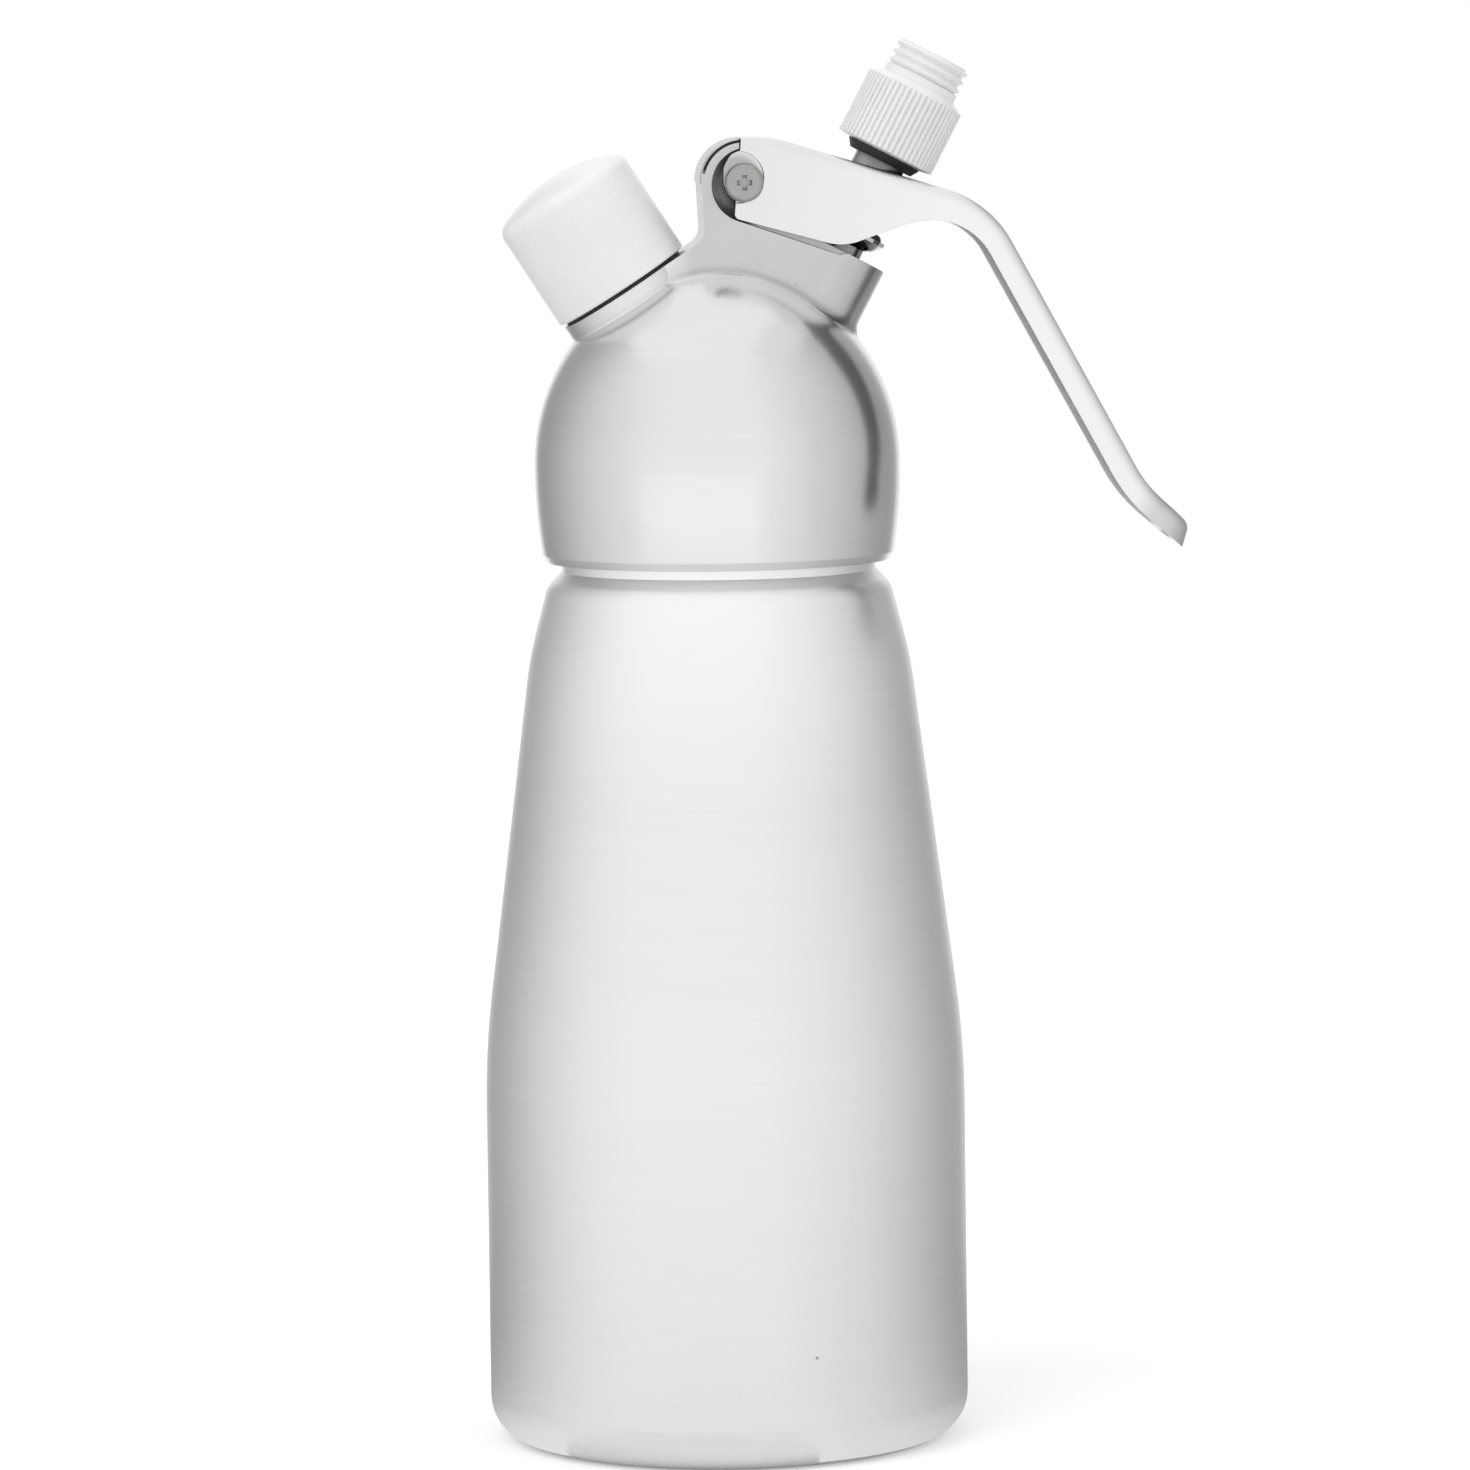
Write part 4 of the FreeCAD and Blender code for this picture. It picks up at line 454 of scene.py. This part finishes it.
CHEEK_TONE, CHEEK_WORN_TONE, OUTER_TONE = grey(0.78, 0.005), grey(0.82, 0.005), grey(0.90, 0.005)
OUTER_START, OUTER_FULL = 6.0 * MILLIMETRE, 44.0 * MILLIMETRE
RUBBED_EDGE_TONE, BACK_EDGE_REFLECTION_TONE = grey(0.90), grey(0.5)
BACK_EDGE_END, BACK_EDGE_FULL = 34.0 * MILLIMETRE, 26.0 * MILLIMETRE
UPWARD_START, UPWARD_FULL = 0.1, 0.5
SHADE_START, SHADE_FULL = 0.56, 0.26
SHADE_TONE, TIP_TONE, DIMPLE_SHADE_TONE = grey(0.05), grey(0.47, 0.005), grey(0.47)
FAR_WALL_HIGHLIGHT_TONE, FAR_WALL_HIGHLIGHT_SHARE, INSIDE_REFLECTION_TONE, LEVER_SPECK_TONE = grey(0.97), 0.75, grey(0.2), grey(0.4)
LEVER_ROUGHNESS, LEVER_SMEAR_ROUGHNESS, INSIDE_ROUGHNESS = (0.26, 0.34), (-0.02, 0.03), (0.0, 0.12)
LEVER_DEPTH = 0.002 * MILLIMETRE

bright_aluminium, tree, shader, place = new_finish("bright_aluminium", Metallic=1.0)
hands = placed(tree, handling, Place=place, Size=14.0 * MILLIMETRE)
edges = placed(tree, soft_edges, Radius=0.15 * MILLIMETRE)
parts = step(tree, "SeparateXYZ", {"Vector": place}).outputs
normal = step(tree, "NewGeometry").outputs["Normal"]
mirrored = step(tree, "LightPath").outputs["Is Glossy Ray"]
brushed = grain(tree, vectors(tree, "MULTIPLY", place, BRUSH_SCALE), 1.0, 3.0, 0.6)
mixed = weighed(tree, brushed, 0.65, grain(tree, place, EVEN_SCALE), 0.35)
tone = tones(tree, mixed, CHEEK_TONE, CHEEK_WORN_TONE)
tone = tones(tree, spread(tree, parts["X"], OUTER_START, OUTER_FULL), tone, OUTER_TONE)
# Painted reflection: edges that face up on the back part of the lever are painted dark grey, a dark
# reflection from above.
upward = spread(tree, part_of(tree, normal, "Z"), UPWARD_START, UPWARD_FULL)
dark_edge_reflection = times(tree, upward, spread(tree, parts["X"], BACK_EDGE_END, BACK_EDGE_FULL))
tone = tones(tree, edges["Edges"], tone, tones(tree, dark_edge_reflection, RUBBED_EDGE_TONE, BACK_EDGE_REFLECTION_TONE))
# Painted shade: where the lever is closed in, in its channel and close to the casting, it is painted near
# black.
open_share = step(tree, "AmbientOcclusion", {"Distance": 14.0 * MILLIMETRE}, samples=12).outputs["AO"]
tone = tones(tree, spread(tree, open_share, SHADE_START, SHADE_FULL), tone, SHADE_TONE)

# The handle's tip is dulled by the hand. The pocket pressed into the near cheek is painted grey: painted
# shade.
along = vectors(tree, "DOT_PRODUCT", place, HANDLE_WAY, result="Value")
rubbed = times(tree, spread(tree, along, TIP_START, TIP_FULL), TIP_SHARE)
tone = tones(tree, rubbed, tone, TIP_TONE)
from_dimple = vectors(tree, "MULTIPLY", vectors(tree, "SUBTRACT", place, DIMPLE_CENTRE), ACROSS_PIVOT)
off_dimple = vectors(tree, "LENGTH", from_dimple, result="Value")
in_dimple = spread(tree, off_dimple, DIMPLE_RADIUS, DIMPLE_FLAT)
near_side = sums(tree, "LESS_THAN", parts["Y"], DIMPLE_FLOOR)
tone = tones(tree, times(tree, in_dimple, near_side), tone, DIMPLE_SHADE_TONE)

# Painted reflection: the channel's inside is painted dark only where other metal mirrors it. Painted
# highlight: looked at straight, the far wall of the handle is painted as a thin bright line.
facing = vectors(tree, "DOT_PRODUCT", normal, STRIP_WAY, result="Value")
inward = sums(tree, "LESS_THAN", facing, STRIP_INSIDE)
inside = times(tree, inward, sums(tree, "LESS_THAN", sums(tree, "ABSOLUTE", parts["Y"]), INNER_HALF_WIDTH))
on_handle = spread(tree, parts["X"], HANDLE_START, HANDLE_FULL)
far_wall_highlight = times(tree, inside, on_handle, sums(tree, "SUBTRACT", 1.0, mirrored), FAR_WALL_HIGHLIGHT_SHARE)
tone = tones(tree, far_wall_highlight, tone, FAR_WALL_HIGHLIGHT_TONE)
mirrored_inside = times(tree, inside, mirrored)
tone = tones(tree, mirrored_inside, tone, INSIDE_REFLECTION_TONE)
give(tree, shader["Base Color"], tones(tree, hands["Specks"], tone, LEVER_SPECK_TONE))
brush_dull = between(tree, mixed, *LEVER_ROUGHNESS)
smear_dull = between(tree, hands["Smears"], *LEVER_SMEAR_ROUGHNESS)
dull = sums(tree, "ADD", brush_dull, smear_dull)
give(tree, shader["Roughness"], sums(tree, "ADD", dull, between(tree, mirrored_inside, *INSIDE_ROUGHNESS)))
raised(tree, shader, mixed, LEVER_DEPTH, normal=edges["Normal"])
dress(bright_aluminium, "lever")

# ---------------------------------------------------------------- pivot
# A barrel nut turned from steel lies through the lever and the casting. A cross-headed screw, dulled
# by use, closes it from the near side.
PIVOT_AXIS = (0.0, 1.0, 0.0)
SCREW_TONE, SCREW_WORN_TONE = grey(0.34, -0.005), grey(0.46, -0.005)
SCREW_EDGE_TONE, SCREW_REFLECTION_TONE, SCREW_CORNER_TONE = grey(0.6), grey(0.75), grey(0.05)
SCREW_CORNER_START, SCREW_CORNER_FULL = 0.7, 0.2
SCREW_ROUGHNESS = (0.28, 0.42)
barrel_steel = turned_steel(
    "barrel_steel", low=0.42, high=0.52, roughness=(0.26, 0.36), pitch=0.15 * MILLIMETRE,
    foot=PIVOT_FOOT, axis=PIVOT_AXIS,
)
dress(barrel_steel, "pivot_barrel")
screw_steel, tree, shader, place = new_finish("screw_steel", Metallic=1.0)
lines = placed(
    tree, lathe_lines, Place=place, Foot=PIVOT_FOOT, Axis=PIVOT_AXIS, Pitch=0.16 * MILLIMETRE, Turns=2.0
)
edges = placed(tree, soft_edges, Radius=0.1 * MILLIMETRE)
mirrored = step(tree, "LightPath").outputs["Is Glossy Ray"]
open_share = step(tree, "AmbientOcclusion", {"Distance": 0.7 * MILLIMETRE}, samples=4).outputs["AO"]

# The screw's head is dark to look at, and painted lighter where other metal mirrors it: a painted
# reflection.
tone = tones(tree, lines["Lines"], SCREW_TONE, SCREW_WORN_TONE)
tone = tones(tree, edges["Edges"], tone, SCREW_EDGE_TONE)
tone = tones(tree, mirrored, tone, SCREW_REFLECTION_TONE)
# The screw is painted near black in its tight corners.
corner = spread(tree, open_share, SCREW_CORNER_START, SCREW_CORNER_FULL)
give(tree, shader["Base Color"], tones(tree, corner, tone, SCREW_CORNER_TONE))
give(tree, shader["Roughness"], between(tree, lines["Bands"], *SCREW_ROUGHNESS))
raised(tree, shader, lines["Lines"], STEEL_LINE_DEPTH, normal=edges["Normal"])
dress(screw_steel, "pivot_screw")

# ---------------------------------------------------------------- table and room
# The dispenser stands on a plain white table in a white room. Two curved grey screens stand close on
# either side and a grey board hangs on the right. Only reflections show them: they shade the metal.
ROOM_FILL = 0.55
TABLE_SPAN, TABLE_STEP = 1.7, 5
TABLE_TONE = grey(0.86)
TABLE_GLOW, TABLE_GLOW_NEAR = 0.3, 0.07
TABLE_NEAR, TABLE_FAR = 0.05, 0.75
SCREEN_STEPS = 30
SCREEN_SHIFT = math.radians(5.0)
SCREEN_RIM = ((0.034, 0.001), (0.22, 0.001), (0.22, 0.42))
SCREEN_LOW, SCREEN_FLOOR, SCREEN_FLOOR_SHARE = 0.004, 0.0015, 0.88
LEFT_GREYS = (
    (45.0, 1.0), (58.0, 0.97), (75.0, 0.87), (95.0, 0.70),
    (112.0, 0.53), (130.0, 0.40), (146.0, 0.40), (152.0, 0.65),
)
RIGHT_GREYS = (
    (25.0, 1.0), (38.0, 0.95), (55.0, 0.90), (73.0, 0.79), (95.0, 0.63),
    (112.0, 0.50), (130.0, 0.40), (146.0, 0.45), (152.0, 0.75),
)
BOARD_GREY = 0.85
BOARD_DISTANCE, BOARD_CENTRE_UP = 0.6, 0.19
BOARD_CORNERS = ((48.0, 10.0), (110.0, 6.0), (110.0, 60.0), (40.0, 60.0))


def flat_sheet(name, corners, finish, faces=None):
    """A sheet of the stage through its corners, in one face or several."""
    mesh = bpy.data.meshes.new(name)
    mesh.from_pydata(corners, [], faces or [list(range(len(corners)))])
    mesh.materials.append(finish)
    sheet = bpy.data.objects.new(name, mesh)
    bpy.context.scene.collection.objects.link(sheet)
    return sheet


def only_reflected(sheet):
    """Leave a sheet in reflections, and out of sight, shade and light."""
    sheet.visible_camera = sheet.visible_diffuse = sheet.visible_shadow = False


def by_angle(tree, around, greys):
    """Greys given at angles, blended between them."""
    start, end = greys[0][0], greys[-1][0]
    ramp = step(tree, "ValToRGB", {0: spread(tree, around, start, end)})
    while len(ramp.color_ramp.elements) < len(greys):
        ramp.color_ramp.elements.new(0.5)
    for stop, (angle, level) in zip(ramp.color_ramp.elements, greys):
        stop.position = (angle - start) / (end - start)
        stop.color = grey(level)
    return ramp.outputs["Color"]


def shine(finish, colour, strength):
    """Let a finish shine by itself, and light nothing as a lamp would."""
    tree = finish.node_tree
    glow = step(tree, "Emission", {"Color": colour, "Strength": strength})
    give(tree, tree.nodes["Material Output"].inputs["Surface"], glow.outputs[0])
    finish.cycles.emission_sampling = "NONE"


table_white, tree, shader, place = new_finish("table_white", Roughness=0.7, Specular_IOR_Level=0.0)
shader["Base Color"].default_value = TABLE_TONE
path = step(tree, "LightPath").outputs
far = spread(tree, vectors(tree, "LENGTH", place, result="Value"), TABLE_NEAR, TABLE_FAR)
in_metal = times(tree, path["Is Glossy Ray"], between(tree, far, TABLE_GLOW_NEAR, TABLE_GLOW))
looked_at = sums(tree, "MAXIMUM", path["Is Camera Ray"], path["Is Transmission Ray"])
strength = sums(tree, "ADD", in_metal, times(tree, looked_at, TABLE_GLOW))
glow = step(tree, "Emission", {"Color": grey(1.0), "Strength": strength})
both = step(tree, "AddShader", {0: tree.nodes["Principled BSDF"].outputs[0], 1: glow.outputs[0]})
give(tree, tree.nodes["Material Output"].inputs["Surface"], both.outputs[0])
turns = [math.radians(angle) for angle in range(0, 360, TABLE_STEP)]
corners = [(TABLE_SPAN * math.cos(turn), TABLE_SPAN * math.sin(turn), 0.0) for turn in turns]
flat_sheet("table_top", corners, table_white)

for name, side, greys in (("left_screen", -1.0, LEFT_GREYS), ("right_screen", 1.0, RIGHT_GREYS)):
    screen_grey, tree, shader, place = new_finish(name + "_grey", Roughness=1.0)
    parts = step(tree, "SeparateXYZ", {"Vector": place}).outputs
    sideward, forward = sums(tree, "ABSOLUTE", parts["X"]), times(tree, parts["Y"], -1.0)
    around = sums(tree, "DEGREES", sums(tree, "ARCTAN2", sideward, forward))
    low = spread(tree, parts["Z"], SCREEN_LOW, SCREEN_FLOOR)
    shine(screen_grey, by_angle(tree, around, greys), between(tree, low, 1.0, SCREEN_FLOOR_SHARE))
    corners, faces = [], []
    start, end = greys[0][0], greys[-1][0]
    for index in range(SCREEN_STEPS + 1):
        turn = math.radians(start + (end - start) * index / SCREEN_STEPS)
        for distance, height in SCREEN_RIM:
            corners.append((side * distance * math.sin(turn), -distance * math.cos(turn), height))
    rim = len(SCREEN_RIM)
    for first in range(0, rim * SCREEN_STEPS, rim):
        for corner in (first, first + 1):
            faces.append((corner, corner + rim, corner + rim + 1, corner + 1))
    sheet = flat_sheet(name, corners, screen_grey, faces)
    sheet.rotation_euler.z = -SCREEN_SHIFT
    only_reflected(sheet)

board_grey = new_finish("board_grey", Roughness=1.0)[0]
shine(board_grey, grey(BOARD_GREY), 1.0)
corners = []
for turn, rise in BOARD_CORNERS:
    turn, rise = math.radians(turn), math.radians(rise)
    level_reach = BOARD_DISTANCE * math.cos(rise)
    height = BOARD_DISTANCE * math.sin(rise) + BOARD_CENTRE_UP
    corners.append((level_reach * math.sin(turn), -level_reach * math.cos(turn), height))
only_reflected(flat_sheet("upper_board", corners, board_grey))

# The room is pure white where it is only looked at, straight, in a reflection or through glass.
room = bpy.data.worlds.new("white_room")
bpy.context.scene.world = room
room.use_nodes = True
tree = room.node_tree
path = step(tree, "LightPath").outputs
seen = sums(tree, "MAXIMUM", path["Is Glossy Ray"], path["Is Transmission Ray"])
seen = sums(tree, "MAXIMUM", path["Is Camera Ray"], seen)
tree.nodes["Background"].inputs["Color"].default_value = grey(1.0)
give(tree, tree.nodes["Background"].inputs["Strength"], between(tree, seen, ROOM_FILL, 1.0))

# ---------------------------------------------------------------- lamps
# Three large soft lamps: the main one above on the left, a weaker one on the right, one behind.
# They light the dispenser and don't show in its metal.
LAMPS = (
    ("main_lamp", (-0.7, -0.8, 1.1), 1.0, 50.0),
    ("side_lamp", (0.9, -0.6, 0.8), 0.5, 50.0),
    ("back_lamp", (0.2, 0.9, 1.2), 0.35, 60.0),
)
for name, direction, strength, softness in LAMPS:
    light = bpy.data.lights.new(name, "SUN")
    light.energy = strength
    light.angle = math.radians(softness)
    lamp = bpy.data.objects.new(name, light)
    lamp.rotation_euler = Vector(direction).to_track_quat("Z", "Y").to_euler()
    lamp.visible_glossy = False
    bpy.context.scene.collection.objects.link(lamp)

# ---------------------------------------------------------------- camera
# A long lens at the height of the dispenser's top and slightly to its charger side. It looks a
# little down and leans by less than a degree.
CAMERA_PLACE = (-0.07566, -1.27541, 0.23616)
CAMERA_AROUND, CAMERA_DOWN, CAMERA_LEAN = (math.radians(angle) for angle in (-3.5, 5.3, -0.75))
LENS_LENGTH, SENSOR_WIDTH = 188.6, 36.0
CLIP_NEAR, CLIP_FAR = 0.05, 50.0
back = Vector((
    math.sin(CAMERA_AROUND) * math.cos(CAMERA_DOWN),
    -math.cos(CAMERA_AROUND) * math.cos(CAMERA_DOWN),
    math.sin(CAMERA_DOWN),
))
right = Vector((math.cos(CAMERA_AROUND), math.sin(CAMERA_AROUND), 0.0))
up = back.cross(right)
leaning_right = right * math.cos(CAMERA_LEAN) + up * math.sin(CAMERA_LEAN)
leaning_up = up * math.cos(CAMERA_LEAN) - right * math.sin(CAMERA_LEAN)
lens = bpy.data.cameras.new("camera")
lens.lens = LENS_LENGTH
lens.sensor_width = SENSOR_WIDTH
lens.clip_start, lens.clip_end = CLIP_NEAR, CLIP_FAR
camera = bpy.data.objects.new("camera", lens)
turn = Matrix((leaning_right, leaning_up, back)).transposed()
camera.matrix_world = Matrix.Translation(CAMERA_PLACE) @ turn.to_4x4()
bpy.context.scene.collection.objects.link(camera)
bpy.context.scene.camera = camera
bpy.context.scene.view_settings.view_transform = "Standard"
